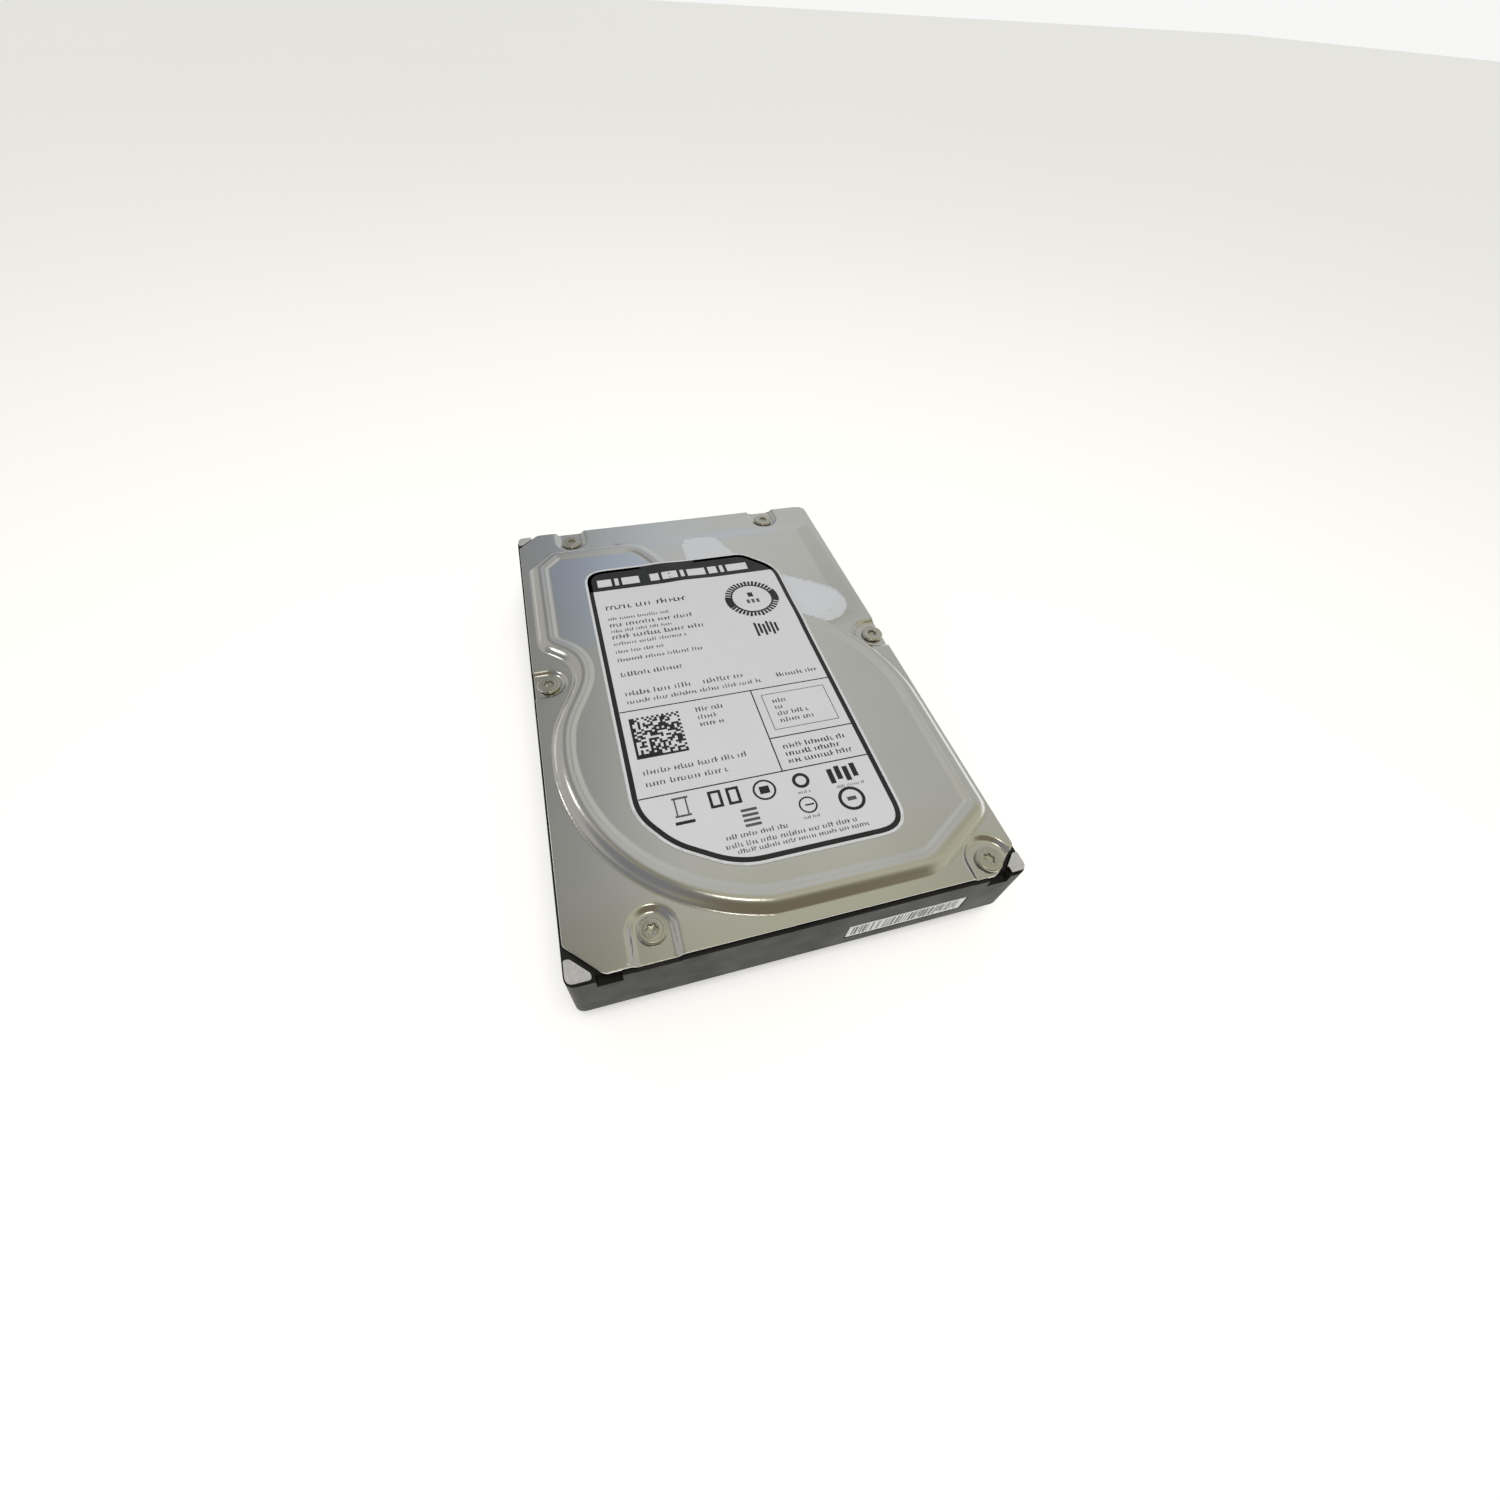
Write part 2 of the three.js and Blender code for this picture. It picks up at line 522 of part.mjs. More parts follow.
function actuatorBlock() {
  const armPlan = alongArm([
    [0, 7, 0], [0, -7, 0], [ARM_REACH / 2, -3.8, 2], [ARM_REACH, -2.4, 1.5], [ARM_REACH, 2.4, 1.5],
    [ARM_REACH / 2, 3.8, 2],
  ]);
  const arms = ARM_LEVELS.map((level) => slab(armPlan, level - ARM_THICK / 2, level + ARM_THICK / 2));
  const hub = rod(PIVOT.x, PIVOT.y, BLOCK.radius, BLOCK.bottom, BLOCK.top, MEDIUM);
  const coilSide = ARM_AT_REST + 180;
  const forkFrame = sectorShape(PIVOT, FORK.inner, FORK.outer, coilSide, FORK.half);
  const coilSpace = sectorShape(PIVOT, COIL.inner - 0.3, COIL.outer + 0.3, coilSide, COIL.half + 0.9);
  const fork = slab(forkFrame, FORK.bottom, FORK.top)
    .subtract(slab(coilSpace, FORK.bottom - 1, FORK.top + 1));
  return joined([hub, ...arms, fork]).subtract(rod(PIVOT.x, PIVOT.y, BLOCK.bore, 5, 25, MEDIUM));
}

function voiceCoil() {
  const coilSide = ARM_AT_REST + 180;
  const wound = sectorShape(PIVOT, COIL.inner, COIL.outer, coilSide, COIL.half);
  const eye = sectorShape(PIVOT, COIL.inner + 4.5, COIL.outer - 4.5, coilSide, COIL.half * 0.5);
  return slab(wound, COIL.bottom, COIL.top).subtract(slab(eye, COIL.bottom - 1, COIL.top + 1));
}

// Thin load beam with the head's slider at its tip; facing is +1 when the disk is above it.
function suspension(level, facing) {
  const sheet = 0.15;
  const beamFace = level + facing * (ARM_THICK / 2 + 0.15);
  const beam = [beamFace, beamFace + facing * sheet].sort((a, b) => a - b);
  const slider = [beamFace + facing * 0.05, beamFace + facing * (sheet + 0.22)].sort((a, b) => a - b);
  const beamPlan = alongArm([
    [ARM_REACH - 4.5, 2.4, 0.5], [ARM_REACH - 4.5, -2.4, 0.5], [HEAD_REACH, -0.9, 0.4],
    [HEAD_REACH, 0.9, 0.4],
  ]);
  const sliderPlan = alongArm([
    [HEAD_REACH - 2.2, 0.6, 0], [HEAD_REACH - 2.2, -0.6, 0], [HEAD_REACH - 0.7, -0.6, 0],
    [HEAD_REACH - 0.7, 0.6, 0],
  ]);
  return slab(beamPlan, ...beam, 2).add(slab(sliderPlan, ...slider));
}

piece('pivot_shaft', rod(PIVOT.x, PIVOT.y, PIVOT_SHAFT.radius, Z.floor + SMALL_GAP, PIVOT_SHAFT.top),
  PLAIN_STEEL);
piece('pivot_bearing', ring(PIVOT, BEARING.bore, BEARING.radius, BEARING.bottom, BEARING.top),
  PLAIN_STEEL);
piece('actuator_block', actuatorBlock(), ALUMINIUM);
piece('voice_coil', voiceCoil(), COPPER);
for (let gap = 0; gap < PLATTER.count; gap += 1) {
  piece(`head_suspension_${2 * gap + 1}`, suspension(ARM_LEVELS[gap], 1), PLAIN_STEEL);
  piece(`head_suspension_${2 * gap + 2}`, suspension(ARM_LEVELS[gap + 1], -1), PLAIN_STEEL);
}

// ---------------------------------------------------------------- voice coil motor and stops

function yokePlate(z0, z1) {
  const sector = sectorShape(PIVOT, VCM.inner, VCM.outer, VCM_CENTRE, VCM.half);
  const ears = sectorShape(PIVOT, ...VCM.ear, VCM_CENTRE, VCM.earHalf);
  return slab(sector, z0, z1).add(slab(ears, z0, z1));
}

function upperYoke() {
  const legs = [-1, 1].map((side) => {
    const [x, y] = polar(PIVOT, VCM.legAt, VCM_CENTRE + side * VCM.legAngle);
    return rod(x, y, VCM.leg, VCM.lowerPlateTop + 0.2, VCM.upperPlate + 0.3);
  });
  return joined([yokePlate(VCM.upperPlate, VCM.upperPlateTop), ...legs]);
}

function magnet(z0, z1) {
  return slab(sectorShape(PIVOT, VCM.inner + 1.2, VCM.outer - 2, VCM_CENTRE, VCM.magnetHalf), z0, z1);
}

function crashStop(side) {
  const away = FORK.half + ARM_SWING / 2 + CRASH_STOP.clearance;
  const [x, y] = polar(PIVOT, CRASH_STOP.at, VCM_CENTRE + side * away);
  return rod(x, y, CRASH_STOP.radius, Z.floor + SMALL_GAP, CRASH_STOP.top);
}

piece('lower_yoke', yokePlate(Z.floor + SMALL_GAP, VCM.lowerPlateTop), NICKEL);
piece('lower_magnet', magnet(VCM.lowerPlateTop + SMALL_GAP, VCM.lowerMagnetTop), NICKEL);
piece('upper_magnet', magnet(VCM.upperMagnet, VCM.upperPlate - SMALL_GAP), NICKEL);
piece('upper_yoke', upperYoke(), NICKEL);
piece('inner_crash_stop', crashStop(1), RUBBER);
piece('outer_crash_stop', crashStop(-1), RUBBER);

// Inertia latch: a small lever that swings in over the fork's corner when the drive is jolted.
function latchLever() {
  const lever = outline([
    [LATCH.x + 4, LATCH.y - 1.6, 1], [LATCH.x + 4, LATCH.y + 1.6, 1], [LATCH.x - 8, LATCH.y + 3.6, 0.5],
    [LATCH.x - 8.6, LATCH.y + 1.6, 0.3], [LATCH.x - 3, LATCH.y - 2, 1],
  ]);
  return slab(lever, LATCH.bottom, LATCH.top).subtract(rod(LATCH.x, LATCH.y, LATCH.bore, 10, 20, 12));
}
piece('actuator_latch', latchLever(), RESIN);

// ---------------------------------------------------------------- flex circuit and filter

// The ribbon runs from the actuator block, in one loose bend, to the bracket on the floor.
const FLEX = { path: [[-17.3, 28.5], [-8, 42], [0, 44], [1.4, 36]], bottom: 10.5, top: 15.5 };

function flexRibbon() {
  const half = 0.15;
  const centre = new THREE.CubicBezierCurve(...FLEX.path.map(([x, y]) => new THREE.Vector2(x, y)));
  const steps = 14;
  const sides = [[], []];
  for (let i = 0; i <= steps; i += 1) {
    const at = centre.getPoint(i / steps);
    const along = centre.getTangent(i / steps);
    sides[0].push([at.x - along.y * half, at.y + along.x * half, 0]);
    sides[1].unshift([at.x + along.y * half, at.y - along.x * half, 0]);
  }
  return slab(outline([...sides[0], ...sides[1]]), FLEX.bottom, FLEX.top);
}

piece('flex_cable', flexRibbon(), POLYIMIDE);
piece('flex_bracket', slab(
  rectangle(BRACKET.x0, BRACKET.x1, BRACKET.y0, BRACKET.y1, 1), Z.floor + SMALL_GAP, BRACKET.top,
), PLASTIC_BLACK);
piece('recirculation_filter', box(
  FILTER.x0, FILTER.x1, FILTER.y0, FILTER.y1, Z.floor + SMALL_GAP, FILTER.top,
), FILTER_WHITE);

// ---------------------------------------------------------------- circuit board

function boardPlan(side, near, far, corner) {
  return rectangle(-side, side, near, far, corner);
}

function boardScrewHoles(radius) {
  return joined(BOARD_SCREWS.map(([x, y]) => rod(x, y, radius, 0, 8, 12)));
}

function circuitBoard() {
  const motorCut = rod(SPINDLE.x, SPINDLE.y, BOARD.motorCut, 0, 8, MEDIUM);
  const connectorCut = box(SATA.left - 0.2, SATA.right + 0.2, SATA.boardEdge, END + 1, 0, 8);
  return slab(boardPlan(BOARD.side, BOARD.near, BOARD.far, BOARD.corner), Z.board, Z.boardTop)
    .subtract(motorCut).subtract(connectorCut).subtract(boardScrewHoles(1.4));
}

function boardInsulator() {
  const motorCut = rod(SPINDLE.x, SPINDLE.y, BOARD.motorCut + 0.6, 0, 8, MEDIUM);
  return slab(boardPlan(BOARD.side - 1.5, BOARD.near + 1.5, 60.5, 3), Z.insulator, Z.insulatorTop)
    .subtract(motorCut).subtract(boardScrewHoles(2.6));
}

// Plug end: a bar across the board's edge, end guides, and two keyed contact tongues.
function sataConnector() {
  const { left, right, back, front, bottom, top, boardEdge, tongue } = SATA;
  const body = joined([
    box(left, right, back, boardEdge + 0.8, bottom, top),
    box(left, left + SATA.leftGuide, boardEdge, front, bottom, top),
    box(right - SATA.rightGuide, right, boardEdge, front, bottom, top),
  ]);
  const tongues = [SATA.data, SATA.power].map(([x0, x1]) => joined([
    box(x0, x1, boardEdge + 0.4, front - 0.6, tongue.bottom, tongue.top),
    box(x1 - tongue.key, x1, boardEdge + 0.4, front - 0.6, tongue.bottom - tongue.key, tongue.top),
  ]));
  const boardSlot = box(left - 1, right + 1, back - 1, boardEdge + 0.2, Z.board - 0.1, Z.boardTop + 0.1);
  return joined([body, ...tongues]).subtract(boardSlot);
}

piece('circuit_board', circuitBoard(), BOARD_GREEN);
piece('board_insulator', boardInsulator(), FOAM);
piece('sata_connector', sataConnector(), PLASTIC_BLACK);
piece('jumper_block', box(
  JUMPERS.x0, JUMPERS.x1, JUMPERS.y0, JUMPERS.y1, Z.boardTop + SMALL_GAP, JUMPERS.top,
), PLASTIC_BLACK);
BOARD_SCREWS.forEach(([x, y], i) => {
  const { head, shaft, socket, socketTop, headBottom, tip } = BOARD_SCREW;
  const seat = Z.board - 0.1;
  const upsideDown = turned({ x, y }, [
    [0, socketTop], [socket, socketTop], [socket, headBottom], [head, headBottom], [head, seat],
    [shaft, seat], [shaft, tip], [0, tip],
  ], COARSE);
  piece(`board_screw_${i + 1}`, upsideDown, SCREW_STEEL);
});

for (const [name, [x0, x1, y0, y1, bottom]] of Object.entries(CHIPS)) {
  piece(name, box(x0, x1, y0, y1, bottom, Z.board - SMALL_GAP), CHIP_BLACK);
}

export default drive;
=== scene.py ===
import math
import random

import bmesh
import bpy
import numpy as np
from mathutils import Matrix, Vector


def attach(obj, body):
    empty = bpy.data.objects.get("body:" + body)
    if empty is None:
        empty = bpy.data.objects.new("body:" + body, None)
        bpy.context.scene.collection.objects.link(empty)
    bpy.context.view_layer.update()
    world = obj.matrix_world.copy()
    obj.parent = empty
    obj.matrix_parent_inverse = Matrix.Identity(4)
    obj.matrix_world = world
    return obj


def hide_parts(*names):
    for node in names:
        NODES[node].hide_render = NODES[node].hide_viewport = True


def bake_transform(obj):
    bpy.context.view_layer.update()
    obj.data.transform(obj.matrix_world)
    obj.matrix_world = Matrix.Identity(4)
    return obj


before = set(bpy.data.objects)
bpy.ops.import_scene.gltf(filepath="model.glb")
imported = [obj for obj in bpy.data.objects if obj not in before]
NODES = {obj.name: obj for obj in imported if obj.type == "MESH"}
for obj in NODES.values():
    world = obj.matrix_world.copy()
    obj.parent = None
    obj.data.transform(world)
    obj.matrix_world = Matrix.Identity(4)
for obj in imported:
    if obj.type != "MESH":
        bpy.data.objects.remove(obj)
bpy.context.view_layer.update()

MM = 0.001

# ---- sizes, in millimetres

SPINDLE = (0, -21.8)

# The lid: heights above the plane of the rails, then distances across it
FLANGE = 24.1
FAR_FIELD = 25.2
CROWN = 25.96  # rounded bead just inside the plateau's edge
FIELD = 25.68  # the plateau inside its bead
POCKET_FLOOR = 23.1
PLATEAU_FOOT = 0.5  # the plateau's slope begins this far outside its outline
PLATEAU_SLOPE = 3.0
SOFT_SHARE = 0.35  # the part of that slope which is S-shaped; the rest is steep at its foot
BEAD_STEPS = [(3.1, 0.6, 0.08), (4.4, 0.6, 0.2)]  # steps down to the field: in, width, drop
FAR_SLOPE = 7.0
POCKET_WALL = 1.3
SHEET = 0.85
LID_EDGE = 0.14  # rounding of the flange's cut edge
# That edge's profile from the top down, as (out, down) in units of LID_EDGE
EDGE_PROFILE = [
    (0.4, 0.04), (0.75, 0.28), (1, 1), (1, (SHEET - 0.1) / LID_EDGE), (0.6, SHEET / LID_EDGE),
]
LID_COLUMNS, LID_ROWS = 240, 348
UNDER_STEP = 6  # the lid's hidden under side is this many times coarser
REFLECTION_PAINT_IN, REFLECTION_PAINT_FAR = (5.2, 1.4), (10, 12)  # where the bay's painted bluish reflection starts, and over what width

# The label's film: height over the far field and over the field, and its two slopes, each as the
# distance inside the plateau's outline where it starts, and its width
LABEL_FAR = 25.62
LABEL_OVER = 0.04
LABEL_RISE, LABEL_FALL = (-5, 8), (3.5, 5)
FILM_GRID = 1.5  # sides of the pieces it is cut into

LID_PLAN = [
    (-50.2, -65.6, 0.6), (-43, -72.8, 0.6), (43.3, -72.8, 0.6), (50.2, -67.2, 0.6),
    (50.2, 73, 3.2), (-44.2, 73, 0.6), (-50.2, 66.8, 0.6),
]
FAR_FIELD_PLAN = [
    (-20, 64.2, 0), (48.7, 64.2, 4), (48.7, 12.8, 3), (38, 9, 0), (0, 0, 0), (-20, 20, 0),
]
LABEL_PLAN = [
    (-32, 48.2, 6.5), (-32, -41.6, 5), (-25, -51, 4), (-12, -59.1, 6),
    (28.9, -59.1, 7.5), (28.9, 39.2, 5), (19.6, 48.2, 3),
]
FAR_SEAL_PLAN = [(1.4, 45, 0), (1.4, 61.3, 5.5), (12.8, 61.3, 5), (19, 45, 0)]
RIGHT_SEAL = {"start": (26, 27.7), "end": (36.6, 20.4), "radius": 8.5}
# Centre of each cover screw, radius of its pocket, and the way the pocket opens
COVER_SCREWS = [
    ((-33.5, 67.7), 3.5, (0, 1)), ((33.5, 67.9), 3.5, (0, 1)), ((-46.5, 4.9), 3.8, (-1, 0)),
    ((47.6, 4.8), 4.6, (1, 0)), ((-32.5, -66.5), 3.9, (0, -1)), ((43.1, -69.1), 4.7, (0, -1)),
]

# ---- outlines


class Path:
    """A closed outline drawn with lines, arcs and curves; points holds its corners."""

    def __init__(self, x, y):
        self.points = [(x, y)]

    def line(self, x, y):
        self.points.append((x, y))
        return self

    def curve(self, *controls, steps=14):
        controls = [self.points[-1], *controls]
        for i in range(1, steps + 1):
            row = [np.array(c, float) for c in controls]
            while len(row) > 1:
                row = [a + (b - a) * (i / steps) for a, b in zip(row, row[1:])]
            self.points.append(tuple(row[0]))
        return self

    def arc(self, *arc):
        self.points += arc_points(*arc)
        return self


def polar(centre, radius, degrees):
    angle = math.radians(degrees)
    return (centre[0] + radius * math.cos(angle), centre[1] + radius * math.sin(angle))


def arc_points(centre, radius, start, end, steps=40):
    return [polar(centre, radius, start + (end - start) * i / steps) for i in range(steps + 1)]


def sides(loop):
    """Each point of a closed loop with the next one."""
    return zip(loop, loop[1:] + loop[:1])


def rounded(corners, steps=8):
    """Closed outline through (x, y, set-back) corners, each rounded over its set-back."""
    points = []
    for i, (x, y, back) in enumerate(corners):
        corner = Vector((x, y))
        if back == 0:
            points.append((x, y))
            continue
        before = Vector(corners[i - 1][:2])
        after = Vector(corners[(i + 1) % len(corners)][:2])
        start = corner + (before - corner).normalized() * back
        end = corner + (after - corner).normalized() * back
        for k in range(steps + 1):
            t = k / steps
            points.append(tuple(start * (1 - t) ** 2 + corner * 2 * t * (1 - t) + end * t ** 2))
    return points


def resampled(loop, step):
    """The same closed loop with no side longer than step."""
    points = []
    for a, b in sides(loop):
        count = max(1, math.ceil(math.dist(a, b) / step))
        points += [tuple(Vector(a).lerp(Vector(b), k / count)) for k in range(count)]
    return points


def inset(loop, distance):
    """The loop moved inwards; it runs clockwise or anticlockwise, and has no tight corners."""
    points = np.array(loop, float)
    along = np.roll(points, -1, axis=0) - np.roll(points, 1, axis=0)
    along /= np.linalg.norm(along, axis=1)[:, None]
    turn = np.sign(loop_area(loop))
    across = np.stack([-along[:, 1], along[:, 0]], axis=1)
    return [tuple(p) for p in points + distance * turn * across]


def loop_area(loop):
    x, y = np.array(loop, float).T
    return 0.5 * float(np.sum(x * np.roll(y, -1) - y * np.roll(x, -1)))


def capsule(start, end, radius, steps=20):
    way = math.degrees(math.atan2(end[1] - start[1], end[0] - start[0]))
    path = Path(*polar(end, radius, way - 90))
    path.arc(end, radius, way - 90, way + 90, steps)
    path.arc(start, radius, way + 90, way + 270, steps)
    return path.points[1:]


def plateau_outline():
    """Foot of the lid's plateau: a round end over the platters, a waist at the left screw, and a
    chamfered bay over the voice coil motor."""
    centre = (1.2, -21.5)
    path = Path(-47.3, 54.2).line(-47.3, 21)
    path.curve((-47.3, 14.5), (-39.3, 15.5), (-39.3, 6.5))
    path.curve((-39.3, 0.5), (-44.9, -5.2), polar(centre, 48.3, 170))
    path.arc(centre, 48.3, 170, 260).curve((-2, -69.2), (1.2, -69.2)).line(27, -69.2)
    path.curve((30.5, -69.2), (33.5, -67.3)).line(46.4, -59.3).curve((49, -57.6), (49, -54.6))
    path.line(49, -24).arc(centre, 47.8, 4, 55)
    path.curve((18, 26), (2, 32), (-4.5, 48)).curve((-8.5, 57), (-11, 61.4), (-18, 61.4))
    path.line(-40.4, 61.4)
    return path.points


PLATEAU = plateau_outline()
LABEL = resampled(rounded(LABEL_PLAN), FILM_GRID)
FAR_FIELD_LOOP = rounded(FAR_FIELD_PLAN)


def signed_distance(points, loop):
    """Distance from each point to the closed loop, positive inside it."""
    nearest = np.full(len(points), np.inf)
    inside = np.zeros(len(points), bool)
    x, y = points[:, 0], points[:, 1]
    for (ax, ay), (bx, by) in sides(loop):
        dx, dy = bx - ax, by - ay
        length = dx * dx + dy * dy
        if length == 0:
            continue
        t = np.clip(((x - ax) * dx + (y - ay) * dy) / length, 0, 1)
        nearest = np.minimum(nearest, (x - ax - t * dx) ** 2 + (y - ay - t * dy) ** 2)
        if ay != by:
            crosses = (ay > y) != (by > y)
            inside ^= crosses & (x < ax + (y - ay) * dx / dy)
    return np.where(inside, 1, -1) * np.sqrt(nearest)


def ramp(distance, start, width):
    """0 up to start, 1 from start + width on, and a smooth S between."""
    t = np.clip((distance - start) / width, 0, 1)
    return t * t * (3 - 2 * t)


def plateau_distance(points):
    return signed_distance(points, PLATEAU)


def lid_height(points):
    """Upper surface of the lid above each point."""
    edge = plateau_distance(points)
    soft = ramp(edge, -PLATEAU_FOOT, PLATEAU_SLOPE)
    steep = 1 - (1 - np.clip((edge + PLATEAU_FOOT) / PLATEAU_SLOPE, 0, 1)) ** 3
    high = FLANGE + (CROWN - FLANGE) * (SOFT_SHARE * soft + (1 - SOFT_SHARE) * steep)
    for begin, width, drop in BEAD_STEPS:
        high = high - drop * ramp(edge, begin, width)
    far = signed_distance(points, FAR_FIELD_LOOP)
    height = np.maximum(high, FLANGE + (FAR_FIELD - FLANGE) * ramp(far, 0, FAR_SLOPE))
    for centre, radius, out in COVER_SCREWS:
        away = points - np.array(centre)
        along = np.maximum(away @ np.array(out, float), 0)
        aside = np.linalg.norm(away - along[:, None] * np.array(out, float), axis=1)
        height = POCKET_FLOOR + (height - POCKET_FLOOR) * ramp(aside, radius, POCKET_WALL)
    return height


def label_height(points):
    """The label's film bridges the plateau's edge in one soft slope."""
    edge = plateau_distance(points)
    height = LABEL_FAR + (CROWN - LABEL_FAR) * ramp(edge, *LABEL_RISE)
    return height - (CROWN - FIELD - LABEL_OVER) * ramp(edge, *LABEL_FALL)


# ---- mesh building


def grid_faces(columns, rows):
    """Faces of a grid whose points run row by row, one more each way than its faces."""
    wide = columns + 1
    corners = [j * wide + i for j in range(rows) for i in range(columns)]
    return [(a, a + 1, a + wide + 1, a + wide) for a in corners]


class Part:
    """Collects shapes in millimetres, each with a material number, and makes one object of them."""

    def __init__(self):
        self.vertices = []
        self.faces = []
        self.numbers = []

    def add(self, vertices, faces, number=0):
        first = len(self.vertices)
        self.vertices += [tuple(v) for v in vertices]
        self.faces += [tuple(first + i for i in face) for face in faces]
        self.numbers += [number] * len(faces)

    def face(self, corners):
        """A face over vertices that are already there, with material number 0."""
        self.faces.append(tuple(corners))
        self.numbers.append(0)

    def prism(self, loop, bottom, top, number=0, chamfer=0):
        """Upright prism over an anticlockwise loop, with its upper edge chamfered if asked."""
        n = len(loop)
        levels = [(loop, bottom), (loop, top - chamfer)]
        if chamfer:
            levels.append((inset(loop, chamfer), top))
        vertices = [(x, y, z) for ring, z in levels for x, y in ring]
        faces = [tuple(reversed(range(n))), tuple(range(len(vertices) - n, len(vertices)))]
        for level in range(len(levels) - 1):
            for i in range(n):
                a, b = level * n + i, level * n + (i + 1) % n
                faces.append((a, b, b + n, a + n))
        self.add(vertices, faces, number)

    def box(self, x0, x1, y0, y1, z0, z1, number=0, chamfer=0):
        self.prism([(x0, y0), (x1, y0), (x1, y1), (x0, y1)], z0, z1, number, chamfer)

    def brick(self, upright, along, across, z0, z1, number=0, chamfer=0):
        """A box by its spans along and across itself; an upright one runs along y, others along x."""
        x, y = (across, along) if upright else (along, across)
        self.box(*x, *y, z0, z1, number, chamfer)

    def lathe(self, centre, profile, number=0, segments=32, closed=True):
        """Profile points are (radius, z) or (radius, z, lobe depth, lobes)."""
        vertices = []
        for radius, z, *lobes in profile:
            for k in range(segments):
                turn = 2 * math.pi * k / segments
                r = radius
                if lobes:
                    r += lobes[0] * math.cos(lobes[1] * turn)
                vertices.append((centre[0] + r * math.cos(turn), centre[1] + r * math.sin(turn), z))
        faces = []
        rings = len(profile)
        for ring in range(rings if closed else rings - 1):
            a0, b0 = ring * segments, ((ring + 1) % rings) * segments
            for k in range(segments):
                k1 = (k + 1) % segments
                faces.append((a0 + k, a0 + k1, b0 + k1, b0 + k))
        if not closed:
            faces.append(tuple(reversed(range(segments))))
            faces.append(tuple(range((rings - 1) * segments, rings * segments)))
        self.add(vertices, faces, number)

    def flat(self, x0, x1, y0, y1, number=0, step=2, level=0):
        """A flat patch cut into pieces no longer than step, so that it can drape."""
        nx = max(1, math.ceil((x1 - x0) / step))
        ny = max(1, math.ceil((y1 - y0) / step))
        vertices = [
            (x0 + (x1 - x0) * i / nx, y0 + (y1 - y0) * j / ny, level)
            for j in range(ny + 1) for i in range(nx + 1)
        ]
        self.add(vertices, grid_faces(nx, ny), number)

    def sheet(self, first, second, number=0):
        """One row of faces between two rows of as many points."""
        self.add([*first, *second], grid_faces(len(first) - 1, 1), number)

    def band(self, outer, inner, number=0):
        """A flat band between two closed loops of as many points."""
        n = len(outer)
        faces = [(i, (i + 1) % n, n + (i + 1) % n, n + i) for i in range(n)]
        self.add([(x, y, 0) for x, y in outer + inner], faces, number)

    def drape(self, surface, lift):
        """Moves every point up onto surface, plus lift."""
        points = np.array(self.vertices, float)
        points[:, 2] += surface(points[:, :2]) + lift
        self.vertices = [tuple(p) for p in points]
        return self

    def below(self, level):
        """Turns a part that was built upwards from 0 over, so that it hangs from z = level."""
        self.vertices = [(x, y, level - z) for x, y, z in self.vertices]
        self.faces = [tuple(reversed(face)) for face in self.faces]
        return self

    def line(self, points, width, level, number=0):
        """A flat line of even width through the points, mitred at its bends."""
        vertices = []
        for i, (x, y) in enumerate(points):
            before = points[max(i - 1, 0)]
            after = points[min(i + 1, len(points) - 1)]
            first = Vector((x - before[0], y - before[1]))
            second = Vector((after[0] - x, after[1] - y))
            first = first.normalized() if first.length else second.normalized()
            second = second.normalized() if second.length else first
            across = (Vector((-first.y, first.x)) + Vector((-second.y, second.x))).normalized()
            across *= width / 2 / max(0.5, across.dot(Vector((-first.y, first.x))))
            vertices.append((x + across.x, y + across.y, level))
            vertices.append((x - across.x, y - across.y, level))
        self.add(vertices, grid_faces(1, len(points) - 1), number)

    def disc(self, centre, radius, level, number=0, sides=10):
        self.add([(*polar(centre, radius, 360 * k / sides), level) for k in range(sides)],
                 [tuple(range(sides))], number)

    def mesh(self, name, materials):
        mesh = bpy.data.meshes.new(name)
        mesh.from_pydata((np.array(self.vertices, float) * MM).tolist(), [], self.faces)
        for material in materials:
            mesh.materials.append(material)
        mesh.polygons.foreach_set("material_index", self.numbers)
        return mesh

    def build(self, name, finishes, smooth=None, bevel=0):
        """The object, riding on the chassis; finishes are names of materials."""
        mesh = self.mesh(name, [FINISH[finish] for finish in finishes])
        if smooth is not None:
            mesh.polygons.foreach_set("use_smooth", [True] * len(mesh.polygons))
            mesh.set_sharp_from_angle(angle=math.radians(smooth))
        mesh.validate()
        thing = add_object(name, mesh)
        if bevel:
            add_bevel(thing, bevel)
        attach(thing, "chassis")
        return thing


def add_object(name, data):
    thing = bpy.data.objects.new(name, data)
    bpy.context.scene.collection.objects.link(thing)
    return thing


def modify(thing, name, kind, **settings):
    modifier = thing.modifiers.new(name, kind)
    for key, value in settings.items():
        setattr(modifier, key, value)


def add_bevel(thing, width):
    modify(
        thing, "edge", "BEVEL", width=width * MM, segments=2, limit_method="ANGLE",
        angle_limit=math.radians(35), harden_normals=True, use_clamp_overlap=True,
    )


def refine(node, finish, width):
    """Gives a CAD node its material, and rounds its edges with modifiers."""
    thing = NODES[node]
    mesh = thing.data
    mesh.materials.clear()
    mesh.materials.append(FINISH[finish])
    if "custom_normal" in mesh.attributes:
        mesh.attributes.remove(mesh.attributes["custom_normal"])
    modify(thing, "weld", "WELD", merge_threshold=1e-6)
    if width:
        modify(thing, "flat", "DECIMATE", decimate_type="DISSOLVE", angle_limit=math.radians(1))
        add_bevel(thing, width)
    mesh.polygons.foreach_set("use_smooth", [True] * len(mesh.polygons))
    modify(thing, "split", "EDGE_SPLIT", split_angle=math.radians(34))


# ---- materials


